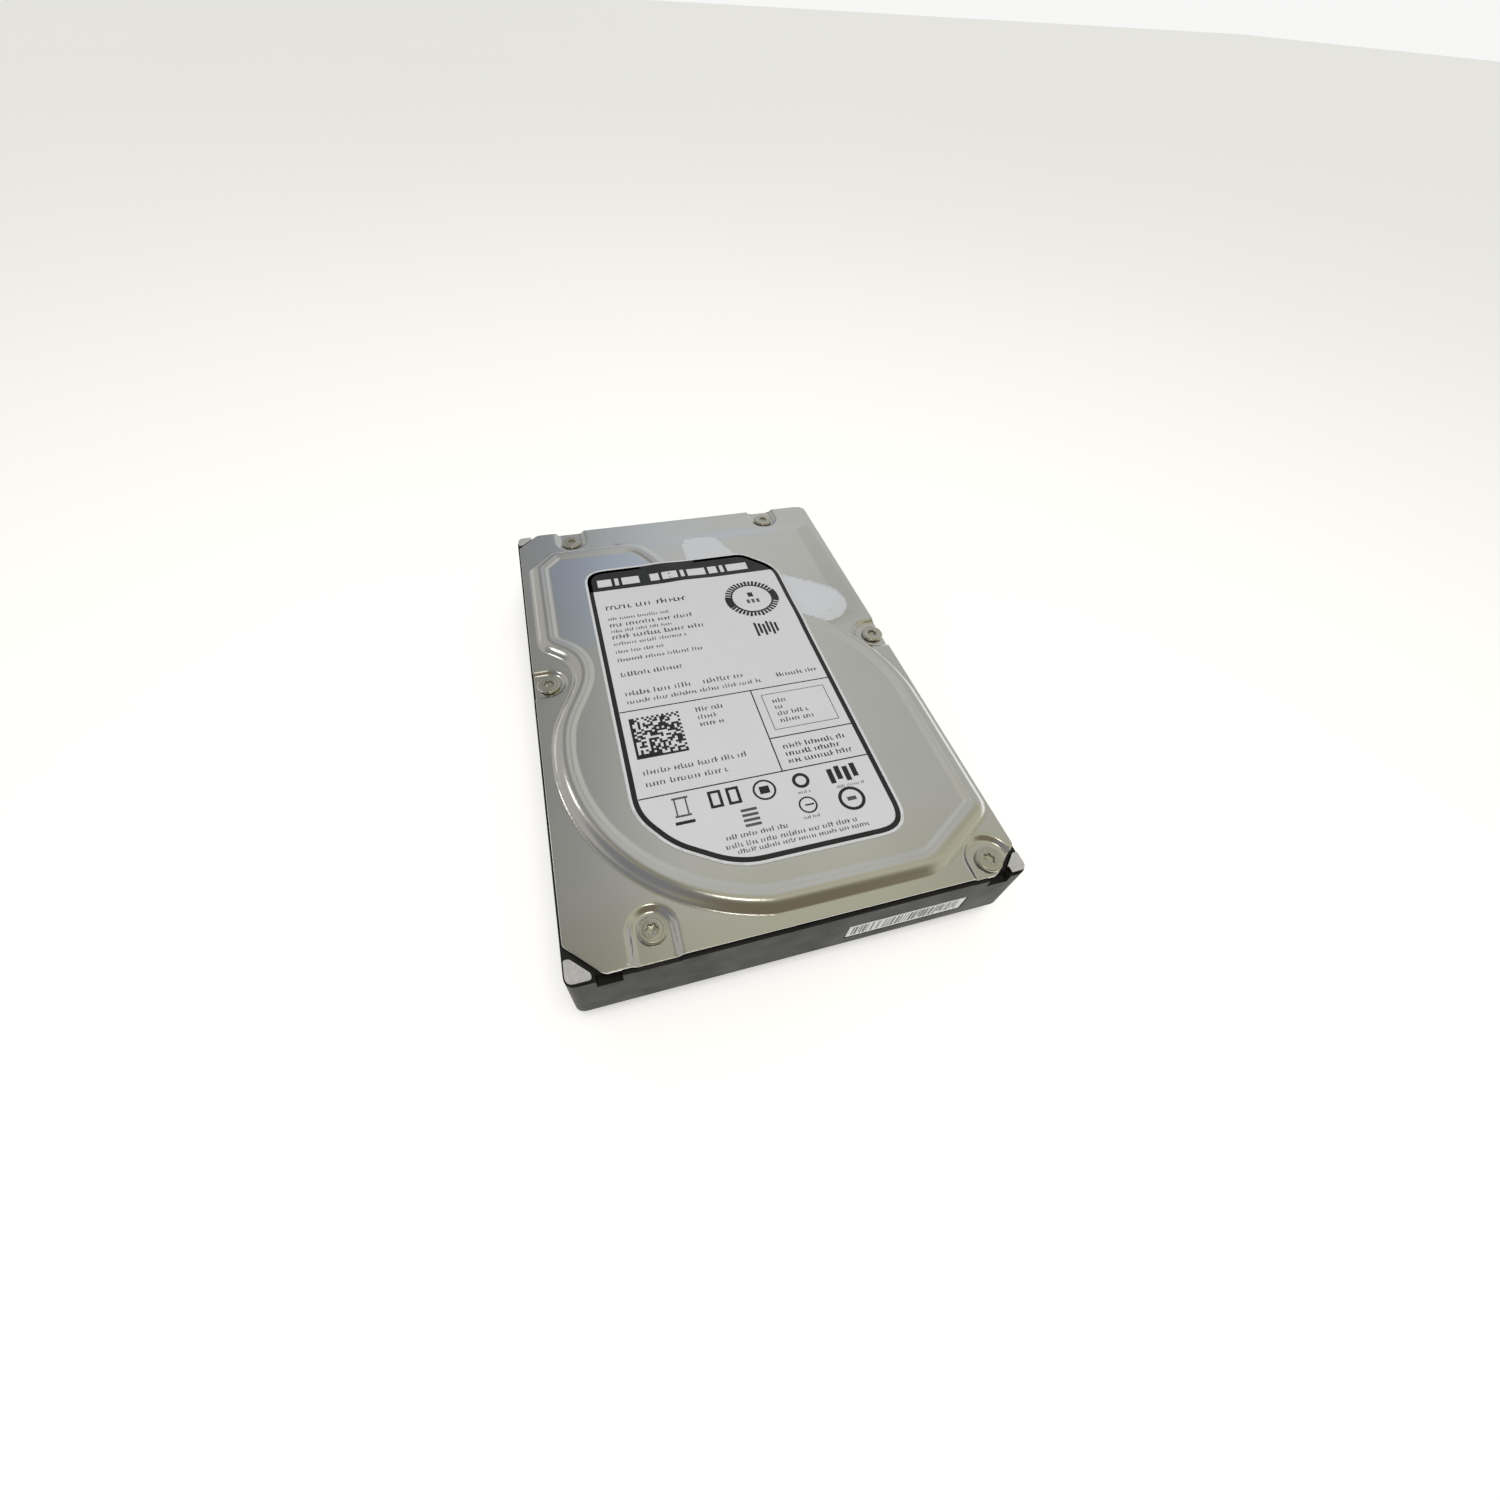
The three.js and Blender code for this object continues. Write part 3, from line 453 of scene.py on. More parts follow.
def add_node(tree, kind, inputs=None, **settings):
    """A shader node; inputs gives values, and sockets to link from, by input name or number."""
    node = tree.nodes.new(kind)
    for key, value in settings.items():
        setattr(node, key, value)
    for key, value in (inputs or {}).items():
        if isinstance(value, bpy.types.NodeSocket):
            tree.links.new(value, node.inputs[key])
        else:
            node.inputs[key].default_value = value
    return node


class Finish:
    """A Principled material whose colour, gloss and grain come from noise in object space."""

    def __init__(self, name, color, roughness, metallic=0, coat=0):
        self.material = bpy.data.materials.new(name)
        self.material.use_nodes = True
        self.tree = self.material.node_tree
        self.inputs = self.tree.nodes["Principled BSDF"].inputs
        self.inputs["Base Color"].default_value = (*color, 1)
        self.inputs["Roughness"].default_value = roughness
        self.inputs["Metallic"].default_value = metallic
        self.inputs["Coat Weight"].default_value = coat
        self.color = color
        self.roughness = roughness
        self.where = self.node("ShaderNodeTexCoord").outputs["Object"]

    def node(self, kind, inputs=None, **settings):
        return add_node(self.tree, kind, inputs, **settings)

    def feed(self, key, source):
        """Links source to the shader's input called key."""
        self.tree.links.new(source, self.inputs[key])
        return self

    def noise(self, scale, detail=3):
        """Noise between 0 and 1; scale is in waves per metre."""
        inputs = {"Vector": self.where, "Scale": scale, "Detail": detail}
        return self.node("ShaderNodeTexNoise", inputs).outputs["Fac"]

    def ranged(self, source, low, high, start=0.3, end=0.7):
        inputs = {"Value": source, "From Min": start, "From Max": end, "To Min": low, "To Max": high}
        return self.node("ShaderNodeMapRange", inputs).outputs["Result"]

    def mixed(self, factor, first, second):
        """Two colours, or sockets, mixed by factor."""
        first, second = ((*c, 1) if isinstance(c, tuple) else c for c in (first, second))
        inputs = {"Factor": factor, 6: first, 7: second}
        return self.node("ShaderNodeMix", inputs, data_type="RGBA").outputs[2]

    def clouded(self, scale, first, second):
        return self.mixed(self.ranged(self.noise(scale), 0, 1), first, second)

    def mottle(self, scale, amount):
        """Cloudy change of colour: darker by amount one way, lighter the other way."""
        dark = tuple(max(0, c * (1 - amount)) for c in self.color)
        light = tuple(min(1, c * (1 + amount)) for c in self.color)
        return self.feed("Base Color", self.clouded(scale, dark, light))

    def gloss(self, scale, spread):
        low, high = self.roughness - spread, self.roughness + spread
        return self.feed("Roughness", self.ranged(self.noise(scale), low, high))

    def grain(self, scale, depth, strength=0.4, detail=4):
        """Fine relief; depth is in millimetres."""
        height = self.noise(scale, detail)
        inputs = {"Strength": strength, "Distance": depth * MM, "Height": height}
        return self.feed("Normal", self.node("ShaderNodeBump", inputs).outputs["Normal"])


def lid_steel():
    """Bright pressed steel, with a painted bluish reflection on the bay beside the label."""
    finish = Finish("lid_steel", (0.74, 0.74, 0.71), 0.19, metallic=1)
    steel = finish.clouded(22, (0.71, 0.71, 0.682), (0.77, 0.77, 0.748))
    # painted reflection: a bluish tint in the colour that stands in for the sky mirrored in the bay
    painted_reflection = finish.node("ShaderNodeAttribute", attribute_name="painted_reflection")
    finish.feed("Base Color", finish.mixed(painted_reflection.outputs["Fac"], steel, (0.68, 0.735, 0.82)))
    return finish.gloss(60, 0.03).grain(2600, 0.003, 0.3, detail=2).material


PAD_FOOT, PAD_TOP = 0.02354, 0.02358  # in metres; the casting is bare above them


def black_casting():
    """Black coat over cast aluminium; the three corner pads are machined bare on top."""
    finish = Finish("black_casting", (0.022, 0.022, 0.022), 0.38)
    finish.inputs["Specular IOR Level"].default_value = 0.1
    finish.gloss(160, 0.06).grain(900, 0.03)
    place = finish.node("ShaderNodeSeparateXYZ", {"Vector": finish.where})
    height = finish.ranged(place.outputs["Z"], 0, 1, PAD_FOOT, PAD_TOP)
    coat = finish.clouded(70, (0.018, 0.018, 0.018), (0.028, 0.028, 0.026))
    bare = finish.clouded(900, (0.62, 0.62, 0.64), (0.74, 0.74, 0.76))
    finish.feed("Base Color", finish.mixed(height, coat, bare))
    return finish.feed("Metallic", finish.ranged(height, 0, 0.45, 0, 1)).material


def plain(name, color, roughness, metallic, mottle, grain, scale, coat=0):
    """A finish of one colour; scale sets its clouds and its grain, in waves per metre."""
    finish = Finish(name, color, roughness, metallic, coat)
    finish.mottle(scale * 0.25, mottle).gloss(scale * 0.4, min(0.05, roughness * 0.3))
    return finish.grain(scale * 3, grain).material


# Colour, roughness, metallic, mottle, depth of grain, scale, and coat if there is one
PLAIN_FINISHES = {
    "label_white": ((0.775, 0.795, 0.85), 0.4, 0, 0.015, 0.003, 500),
    "ink_black": ((0.012, 0.013, 0.015), 0.38, 0, 0.2, 0.003, 500),
    "ink_grey": ((0.09, 0.095, 0.105), 0.45, 0, 0.2, 0.003, 500),
    "seal_foil": ((0.78, 0.81, 0.88), 0.45, 0.25, 0.03, 0.006, 400),
    "screw_steel": ((0.62, 0.61, 0.54), 0.26, 1, 0.08, 0.006, 900),
    "rubber": ((0.012, 0.012, 0.012), 0.75, 0, 0.2, 0.02, 300),
    "ground_steel": ((0.42, 0.43, 0.45), 0.3, 1, 0.06, 0.006, 700),
    "turned_aluminium": ((0.62, 0.63, 0.64), 0.34, 1, 0.05, 0.008, 600),
    "nickel": ((0.62, 0.62, 0.60), 0.2, 1, 0.04, 0.004, 400),
    "platter_mirror": ((0.74, 0.75, 0.77), 0.04, 1, 0.01, 0.0005, 100),
    "copper_wire": ((0.55, 0.24, 0.09), 0.32, 0.9, 0.15, 0.02, 900),
    "polyimide": ((0.42, 0.17, 0.03), 0.35, 0, 0.1, 0.004, 300, 0.3),
    "black_plastic": ((0.012, 0.012, 0.013), 0.42, 0, 0.15, 0.01, 700),
    "board_mask": ((0.012, 0.075, 0.042), 0.34, 0, 0.12, 0.006, 300, 0.2),
    "board_trace": ((0.03, 0.15, 0.075), 0.32, 0, 0.1, 0.004, 500, 0.2),
    "gold_plate": ((0.78, 0.55, 0.22), 0.28, 1, 0.06, 0.004, 600),
    "tin_solder": ((0.62, 0.62, 0.61), 0.36, 1, 0.1, 0.02, 900),
    "ceramic": ((0.26, 0.17, 0.10), 0.5, 0, 0.1, 0.006, 900),
    "board_print": ((0.66, 0.67, 0.64), 0.6, 0, 0.05, 0.004, 900),
    "chip_epoxy": ((0.016, 0.016, 0.018), 0.5, 0, 0.2, 0.012, 900),
    "foam": ((0.02, 0.02, 0.021), 0.9, 0, 0.3, 0.08, 900),
    "filter_fabric": ((0.74, 0.72, 0.66), 0.85, 0, 0.1, 0.06, 1200),
    "latch_resin": ((0.55, 0.42, 0.2), 0.45, 0, 0.05, 0.008, 300),
}
FINISH = {"lid_steel": lid_steel(), "black_casting": black_casting()}
FINISH.update((name, plain(name, *row)) for name, row in PLAIN_FINISHES.items())

# ---- camera, light and floor


def direction(azimuth, elevation):
    """Unit vector; azimuth is measured from +X towards +Y, both in degrees."""
    azimuth, elevation = math.radians(azimuth), math.radians(elevation)
    flat = math.cos(elevation)
    return Vector((math.cos(azimuth) * flat, math.sin(azimuth) * flat, math.sin(elevation)))


CAMERA_AZIMUTH, CAMERA_ELEVATION, CAMERA_ROLL = -108.07, 50.28, 3.97
CAMERA_TARGET = (-1.94, -6.91, 13)
CAMERA_DISTANCE = 174.55


def place_camera():
    back = direction(CAMERA_AZIMUTH, CAMERA_ELEVATION)
    right = direction(CAMERA_AZIMUTH + 90, 0)
    up = back.cross(right)
    roll = math.radians(CAMERA_ROLL)
    rolled_right = right * math.cos(roll) + up * math.sin(roll)
    rolled_up = up * math.cos(roll) - right * math.sin(roll)
    data = bpy.data.cameras.new("camera")
    data.lens = 14.82
    data.shift_x = 0.0203
    data.shift_y = -0.0235
    data.clip_start = 0.01
    data.clip_end = 50
    camera = add_object("camera", data)
    axes = Matrix((rolled_right, rolled_up, back)).transposed().to_4x4()
    place = (Vector(CAMERA_TARGET) + back * CAMERA_DISTANCE) * MM
    camera.matrix_world = Matrix.Translation(place) @ axes
    bpy.context.scene.camera = camera


# Square lamps, in metres: what each aims at, azimuth and elevation, distance, size, power, colour
LAMPS = {
    "soft_lamp": ((0.01, 0.03, 0.02), -98, 72, 0.6, 0.3, 1.4, (1, 0.99, 0.975)),
    "small_lamp": ((0, 0, 0.02), -98, 76, 0.9, 0.16, 0.28, (1, 0.97, 0.88)),
    "waist_lamp": ((-0.0435, 0.0155, 0.025), -178, 49, 0.1, 0.02, 0.0042, (1, 0.99, 0.93)),
}


def add_lamp(name):
    aim, azimuth, elevation, distance, size, power, color = LAMPS[name]
    data = bpy.data.lights.new(name, "AREA")
    data.size = size
    data.energy = power
    data.color = color
    lamp = add_object(name, data)
    away = direction(azimuth, elevation)
    lamp.location = Vector(aim) + away * distance
    lamp.rotation_euler = away.to_track_quat("Z", "Y").to_euler()
    return lamp


# The surroundings: their colour, and its changes as (direction, cosine where the change starts,
# where it ends, colour, how). The camera sees the backdrop's colour instead.
SKY = (0.57, 0.57, 0.555, 1)
BACKDROP = (0.93, 0.93, 0.92, 1)
SURROUNDINGS = [
    ((-0.995, 0.0995, 0), -0.09, 0.16, (0.27, 0.268, 0.262), "MIX"),
    ((-0.995, 0.0995, 0), 0.20, 0.45, (0.46, 0.45, 0.43), "MIX"),
    ((0.80, 0.35, 0.48), 0.82, 0.90, (0.48, 0.48, 0.465), "MIX"),
    ((0, 0.95, 0.31), 0.93, 0.95, (0.95, 1, 1.1), "MULTIPLY"),
    ((0.1, -0.75, 0.65), 0.27, 0.38, (0.86, 0.84, 0.66), "MULTIPLY"),
    ((-0.664, -0.242, 0.707), 0.82, 0.96, (0.215, 0.215, 0.23), "MIX"),
    ((0.05, -0.85, 0.52), 0.66, 0.97, (0.19, 0.16, 0.115), "MIX"),
]


def light_studio():
    """Pale surroundings, darker to the left and browner behind the camera, two lamps almost
    overhead and a small one beside the left waist screw."""
    world = bpy.data.worlds.new("studio")
    world.use_nodes = True
    tree = world.node_tree
    place = add_node(tree, "ShaderNodeTexCoord").outputs["Generated"]
    color = SKY
    for way, start, end, tint, how in SURROUNDINGS:
        inputs = {0: place, 1: Vector(way).normalized()}
        dot = add_node(tree, "ShaderNodeVectorMath", inputs, operation="DOT_PRODUCT")
        inputs = {"Value": dot.outputs["Value"], "From Min": start, "From Max": end}
        change = add_node(tree, "ShaderNodeMapRange", inputs, interpolation_type="SMOOTHSTEP")
        inputs = {"Factor": change.outputs["Result"], 6: color, 7: (*tint, 1)}
        mix = add_node(tree, "ShaderNodeMix", inputs, data_type="RGBA", blend_type=how)
        color = mix.outputs[2]
    seen = add_node(tree, "ShaderNodeLightPath").outputs["Is Camera Ray"]
    inputs = {"Factor": seen, 6: color, 7: BACKDROP}
    shown = add_node(tree, "ShaderNodeMix", inputs, data_type="RGBA")
    tree.links.new(shown.outputs[2], tree.nodes["Background"].inputs["Color"])
    bpy.context.scene.world = world
    add_lamp("soft_lamp").visible_glossy = False
    add_lamp("small_lamp")
    add_lamp("waist_lamp").visible_camera = False


def lay_floor():
    floor = Part()
    reach = 6000
    floor.flat(-reach, reach, -reach, reach, step=reach, level=-0.02)
    finish = Finish("floor", (0.88, 0.88, 0.88), 0.8).mottle(3, 0.01)
    finish.inputs["Emission Color"].default_value = (1, 1, 1, 1)
    finish.inputs["Emission Strength"].default_value = 0.45
    add_object("floor", floor.mesh("floor", [finish.material]))


place_camera()
light_studio()
lay_floor()
bpy.context.scene.view_settings.view_transform = "Standard"

# ---- lid


def row_ends(loop, y):
    """Where the line at height y enters and leaves a convex loop."""
    crossings = []
    for (ax, ay), (bx, by) in sides(loop):
        if (ay > y) != (by > y):
            crossings.append(ax + (y - ay) * (bx - ax) / (by - ay))
    return min(crossings), max(crossings)


def build_lid():
    """Fine pressed lid: a grid whose rows run from edge to edge of the plan, closed below by a
    coarser grid, with a rounded cut edge between."""
    plan = inset(rounded(LID_PLAN), LID_EDGE)
    low, high = min(y for x, y in plan), max(y for x, y in plan)
    ys = np.linspace(low + 1e-4, high - 1e-4, LID_ROWS + 1)
    ends = np.array([row_ends(plan, y) for y in ys])
    xs = ends[:, :1] + (ends[:, 1:] - ends[:, :1]) * np.linspace(0, 1, LID_COLUMNS + 1)
    points = np.stack([xs, np.repeat(ys[:, None], LID_COLUMNS + 1, axis=1)], axis=2).reshape(-1, 2)
    height = lid_height(points)
    part = Part()
    part.add(np.column_stack([points, height]), grid_faces(LID_COLUMNS, LID_ROWS))

    def index(i, j):
        return j * (LID_COLUMNS + 1) + i

    rim = [index(i, 0) for i in range(LID_COLUMNS)]
    rim += [index(LID_COLUMNS, j) for j in range(LID_ROWS)]
    rim += [index(i, LID_ROWS) for i in range(LID_COLUMNS, 0, -1)]
    rim += [index(0, j) for j in range(LID_ROWS, 0, -1)]
    edge = [tuple(points[k]) for k in rim]
    previous = rim
    for out, down in EDGE_PROFILE:
        ring = inset(edge, -LID_EDGE * out)
        first = len(part.vertices)
        part.vertices += [(x, y, height[k] - LID_EDGE * down) for (x, y), k in zip(ring, rim)]
        current = list(range(first, first + len(rim)))
        for a in range(len(rim)):
            b = (a + 1) % len(rim)
            part.face((previous[b], previous[a], current[a], current[b]))
        previous = current
    below = dict(zip(rim, previous))

    def under(k):
        if k not in below:
            below[k] = len(part.vertices)
            part.vertices.append((*points[k], height[k] - SHEET))
        return below[k]

    step = UNDER_STEP
    for j in range(0, LID_ROWS, step):
        for i in range(0, LID_COLUMNS, step):
            walk = [(i + a, j, j == 0) for a in range(step)]
            walk += [(i + step, j + a, i + step == LID_COLUMNS) for a in range(step)]
            walk += [(i + step - a, j + step, j + step == LID_ROWS) for a in range(step)]
            walk += [(i, j + step - a, i == 0) for a in range(step)]
            loop = [
                under(index(a, b)) for n, (a, b, on_rim) in enumerate(walk) if on_rim or n % step == 0
            ]
            part.face(reversed(loop))
    lid = part.build("lid", ["lid_steel"], smooth=50)
    # painted reflection: how strongly each point takes the bay's bluish tint
    painted_reflection = lid.data.attributes.new("painted_reflection", "FLOAT", "POINT")
    places = np.array(part.vertices)[:, :2]
    inside = ramp(plateau_distance(places), *REFLECTION_PAINT_IN) * ramp(places[:, 1], *REFLECTION_PAINT_FAR)
    painted_reflection.data.foreach_set("value", inside.astype(np.float32))
    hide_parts("top_cover")


build_lid()

# ---- label and seals


def filled(loop):
    """Part with the flat inside of a loop, cut along a grid so that it can drape."""
    work = bmesh.new()
    work.faces.new([work.verts.new((x, y, 0)) for x, y in loop])
    for axis, normal in enumerate(((1, 0, 0), (0, 1, 0))):
        values = [p[axis] / FILM_GRID for p in loop]
        for k in range(math.ceil(min(values)), math.floor(max(values)) + 1):
            geometry = work.verts[:] + work.edges[:] + work.faces[:]
            where = tuple(n * k * FILM_GRID for n in normal)
            bmesh.ops.bisect_plane(work, geom=geometry, plane_co=where, plane_no=normal, dist=1e-5)
    work.normal_update()
    if sum(face.normal.z for face in work.faces) < 0:
        bmesh.ops.reverse_faces(work, faces=work.faces)
    work.verts.index_update()
    part = Part()
    part.add([v.co for v in work.verts], [[v.index for v in face.verts] for face in work.faces])
    work.free()
    return part


def stick_on(name, loop, surface, lift, thickness, finish, node):
    film = filled(loop).drape(surface, lift).build(name, [finish], smooth=40)
    modify(film, "film", "SOLIDIFY", thickness=thickness * MM, offset=1)
    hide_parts(node)


stick_on("label_film", LABEL, label_height, 0, 0.06, "label_white", "product_label")
for side, outline in (("far", rounded(FAR_SEAL_PLAN)), ("right", capsule(**RIGHT_SEAL))):
    stick_on(
        f"{side}_seal_foil", outline, lid_height, 0.01, 0.03, "seal_foil", f"{side}_seal",
    )

# Print on the label: abstract marks only, laid out like a drive's label.
BLACK, GREY, WHITE = range(3)
INKS = ["ink_black", "ink_grey", "label_white"]
PRINT_EDGE = 0.75  # white margin outside the black border
PRINT_BORDER = 1.25
BORDER_LIFT, MARKS_LIFT = 0.075, 0.09  # over the film's lower face
HEADER_FOOT = 37.8
HEADER_TEXT = (39.6, 43)  # y0 and y1 of its blocks, then each one's x0 and x1
HEADER_BLOCKS = [
    (-28.3, -24), (-23, -21.8), (-20.8, -15.4), (-12, -9.2), (-8.2, -3.4), (-2.4, -1.2),
    (-0.2, 5.6), (6.6, 9.4), (10.4, 11.6), (12.6, 19.4),
]
# Rows of ticks in the order they are drawn: x0, x1, foot, height
TICK_ROWS = [
    (GREY, [
        (-27.4, -9, 24.2, 1.2), (-27.4, -3, 21.3, 1.7), (-27.4, -9.5, 18.9, 1.2),
        (-27.4, -0.6, 16.2, 1.8), (-27.4, -6.5, 13.6, 1.3), (-27.4, -13.5, 10.4, 1.3),
        (-27.4, -3.5, 7.1, 1.4), (-27.4, -9.6, 1.4, 1.6), (-27.4, -9, -5.6, 1.7),
        (-6.5, 4.8, -5.6, 1.7), (13.5, 25, -7.6, 1.5), (-27.4, 9.5, -8.4, 1.4),
        (-10.8, -2.9, -14.8, 1.5), (-10.8, -5.5, -17.3, 1.5), (-10.8, -4, -19.6, 1.5),
        (-27.4, -1.7, -31, 1.5), (-27.4, -7, -34.3, 1.5), (9.5, 13.8, -16.3, 1.4),
        (9.5, 12.4, -18.4, 1.4), (9.5, 18.2, -20.6, 1.4), (9.5, 19.2, -22.9, 1.4),
    ]),
    (BLACK, [(7.4, 24.5, -31.1, 1.5), (7.4, 21.8, -33.3, 1.5), (7.4, 24, -35.5, 1.5)]),
    (GREY, [
        (-12.9, 2, -52, 1.2), (-13.5, 17.8, -54.1, 1.2), (-11.3, 20.1, -55.7, 1.1),
        (16, 23, -44.9, 0.8), (6.6, 10, -44.4, 0.8), (5.6, 9.8, -51, 0.8),
    ]),
]
# Ruled lines: x0, x1, y0, y1, ink, half the width
RULES = [
    (-29.9, 26.9, -10.8, -10.8, BLACK, 0.16), (-29.9, 26.9, -37.3, -37.3, BLACK, 0.16),
    (4.9, 26.9, -27.3, -27.3, BLACK, 0.16), (4.9, 4.9, -37.3, -10.8, BLACK, 0.16),
    (7.2, 24.5, -13.1, -13.1, GREY, 0.09), (7.2, 24.5, -24.9, -24.9, GREY, 0.09),
    (7.2, 7.2, -24.9, -13.1, GREY, 0.09), (24.5, 24.5, -24.9, -13.1, GREY, 0.09),
]
BADGE = (16.3, 25.3)
BADGE_TEETH = 32
# Blocks: x0, x1, y0, y1, ink, how many, step in x and in y from one to the next
BLOCKS = [
    (15.4, 17, 25.9, 28, BLACK, 1, 0, 0), (14.3, 15.2, 23, 24.7, GREY, 3, 1.5, 0),
    (-7.9, -4.1, -49.8, -49.1, GREY, 4, 0, 1.3), (-22.6, -18.8, -39.2, -38.7, GREY, 2, 0, -4.7),
    (-22.2, -21.85, -43.4, -39.2, GREY, 2, 2.6, 0), (-22.9, -18.4, -45.8, -45, BLACK, 1, 0, 0),
    (-14.2, -11.1, -43.4, -42.7, BLACK, 2, 4.3, 0), (-14.2, -11.1, -39.5, -38.8, BLACK, 2, 4.3, 0),
    (-14.2, -13.5, -42.7, -39.5, BLACK, 2, 4.3, 0), (-11.8, -11.1, -42.7, -39.5, BLACK, 2, 4.3, 0),
    (-2.1, 0.3, -42.3, -40.3, BLACK, 1, 0, 0), (17.2, 19.4, -48.7, -47.7, GREY, 1, 0, 0),
    (7, 9.2, -47.7, -47.3, BLACK, 1, 0, 0),
]
RINGS = [  # centre, outer and inner radius
    ((-0.9, -41.3), 2.8, 2.3), ((8.3, -40.8), 2.1, 1.3), ((7.7, -47.5), 2.2, 1.8),
    ((18.3, -48.2), 3.2, 2.4),
]
CODE_CORNER, CODE_CELLS, CODE_CELL = (-28.1, -26.2), 20, 0.64


def above(loop, level):
    """The part of a convex loop above y = level."""
    kept = []
    for a, b in sides(loop):
        if a[1] >= level:
            kept.append(a)
        if (a[1] >= level) != (b[1] >= level):
            t = (level - a[1]) / (b[1] - a[1])
            kept.append((a[0] + t * (b[0] - a[0]), level))
    return kept


def ring_mark(part, centre, outer, inner, start=0, end=360):
    steps = max(6, round((end - start) / 12))
    pairs = zip(*(arc_points(centre, radius, start, end, steps) for radius in (inner, outer)))
    part.add([(x, y, 0) for pair in pairs for x, y in pair], grid_faces(1, steps), BLACK)


def tick_line(part, rng, x0, x1, foot, height, number, weight=0.2):
    """A row of short upright ticks in runs, as dense as small print but with no letters in it."""
    x = x0
    run = rng.randint(4, 9)
    while x < x1 - height * 0.4:
        tall = height * rng.choice((0.7, 0.7, 0.72, 1))
        wide = height * rng.uniform(weight * 0.8, weight * 1.3)
        part.flat(x, x + wide, foot, foot + tall, number)
        if rng.random() < 0.55:
            level = foot + rng.choice((0, 0.32, 0.58)) * height
            part.flat(x + wide, x + height * 0.46, level, level + height * 0.14, number)
        x += height * 0.56
        run -= 1
        if run == 0:
            x += height * 0.5
            run = rng.randint(4, 9)


def cell_code(part, rng):
    """A square of random cells with two solid sides and two broken ones."""
    last = CODE_CELLS - 1
    for j in range(CODE_CELLS):
        for i in range(CODE_CELLS):
            solid = i == 0 or j == 0 or rng.random() < 0.5
            if (j == last or i == last) and i and j:
                solid = (i + j) % 2 == 0
            if solid:
                (x0, x1), (y0, y1) = (
                    (corner + k * CODE_CELL, corner + (k + 1) * CODE_CELL)
                    for corner, k in zip(CODE_CORNER, (i, j))
                )
                part.flat(x0, x1, y0, y1, BLACK)


def build_label_print():
    rng = random.Random(7)
    under = Part()  # border and header
    under.band(inset(LABEL, PRINT_EDGE), inset(LABEL, PRINT_EDGE + PRINT_BORDER), BLACK)
    header = filled(above(inset(LABEL, PRINT_EDGE + 0.1), HEADER_FOOT))
    under.add(header.vertices, header.faces, BLACK)
    marks = Part()  # everything printed on the white and on the header
    for x0, x1 in HEADER_BLOCKS:
        marks.flat(x0, x1, *HEADER_TEXT, WHITE)
    tick_line(marks, rng, -27.4, -3, 28.8, 2.3, BLACK, 0.16)
    for ink, rows in TICK_ROWS:
        for row in rows:
            tick_line(marks, rng, *row, ink)
    for x0, x1, y0, y1, ink, half in RULES:
        if x0 == x1:
            marks.flat(x0 - half, x1 + half, y0, y1, ink)
        else:
            marks.flat(x0, x1, y0 - half, y1 + half, ink)
    ring_mark(marks, BADGE, 6.5, 6)
    for start in (-14, 168):
        ring_mark(marks, BADGE, 8.3, 6.4, start, start + 36)
    for k in range(BADGE_TEETH):
        half, step = divmod(k, BADGE_TEETH // 2)
        angle = 25 + 180 * half + 9.0 * step
        ring_mark(marks, BADGE, 8.3 - rng.uniform(0, 0.3), 6.4, angle, angle + 5.6)
    cell_code(marks, rng)
    for x0, x1, y0, y1, ink, count, dx, dy in BLOCKS:
        for k in range(count):
            marks.flat(x0 + k * dx, x1 + k * dx, y0 + k * dy, y1 + k * dy, ink)
    for k in range(6):
        foot, top = 8.8 + (k % 2) * 1, 14.5 - (k % 3) * 0.5
        marks.flat(13.3 + k * 1.2, 14.0 + k * 1.2, foot, top, BLACK)
    for centre, outer, inner in RINGS:
        ring_mark(marks, centre, outer, inner)
    for k in range(4):
        foot, top = -43.4 + (k % 2) * 0.8, -39.3 + (k % 2) * 0.5
        marks.flat(15.2 + k * 2, 16.5 + k * 2, foot, top, BLACK)
    for part, name, lift in (
        (under, "label_border", BORDER_LIFT), (marks, "label_marks", MARKS_LIFT),
    ):
        print_layer = part.drape(label_height, lift).build(name, INKS)


build_label_print()

# ---- screws

BOARD_FACE = 2.1  # the circuit board's outer face, looking down
BOARD_SCREWS = [(-39, 67.5), (39, 57.5), (-39, 22), (39, 22), (-30, -10.5), (30, -10.5)]


def build_screw(name, centre, profile, segments, hanging=False):
    part = Part()
    part.lathe(centre, profile, segments=segments, closed=False)
    if hanging:
        part.below(BOARD_FACE)
    screw = part.build(f"torx_{name}", ["screw_steel"], smooth=38)
    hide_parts(name)


def build_cover_screws():
    """Flat heads with a soft chamfer and a six-lobed socket."""
    top = POCKET_FLOOR + 0.9
    under = top - 0.75
    head = 3.05
    lobes = (0.17, 6)
    profile = [
        (0.02, 14), (0.9, 14), (1.2, 14.4), (1.2, under), (head - 0.1, under), (head, under + 0.1),
        (head, top - 0.3), (head - 0.1, top - 0.14), (head - 0.35, top - 0.03), (head - 0.7, top),
        (head - 0.85, top - 0.05), (head - 1, top), (1.4, top), (1.24, top - 0.02, *lobes),
        (1.1, top - 0.2, *lobes), (1.05, top - 0.7, *lobes), (0.5, top - 0.85), (0.02, top - 0.9),
    ]
    for number, (centre, _, _) in enumerate(COVER_SCREWS, 1):
        build_screw(f"cover_screw_{number}", centre, profile, 48)


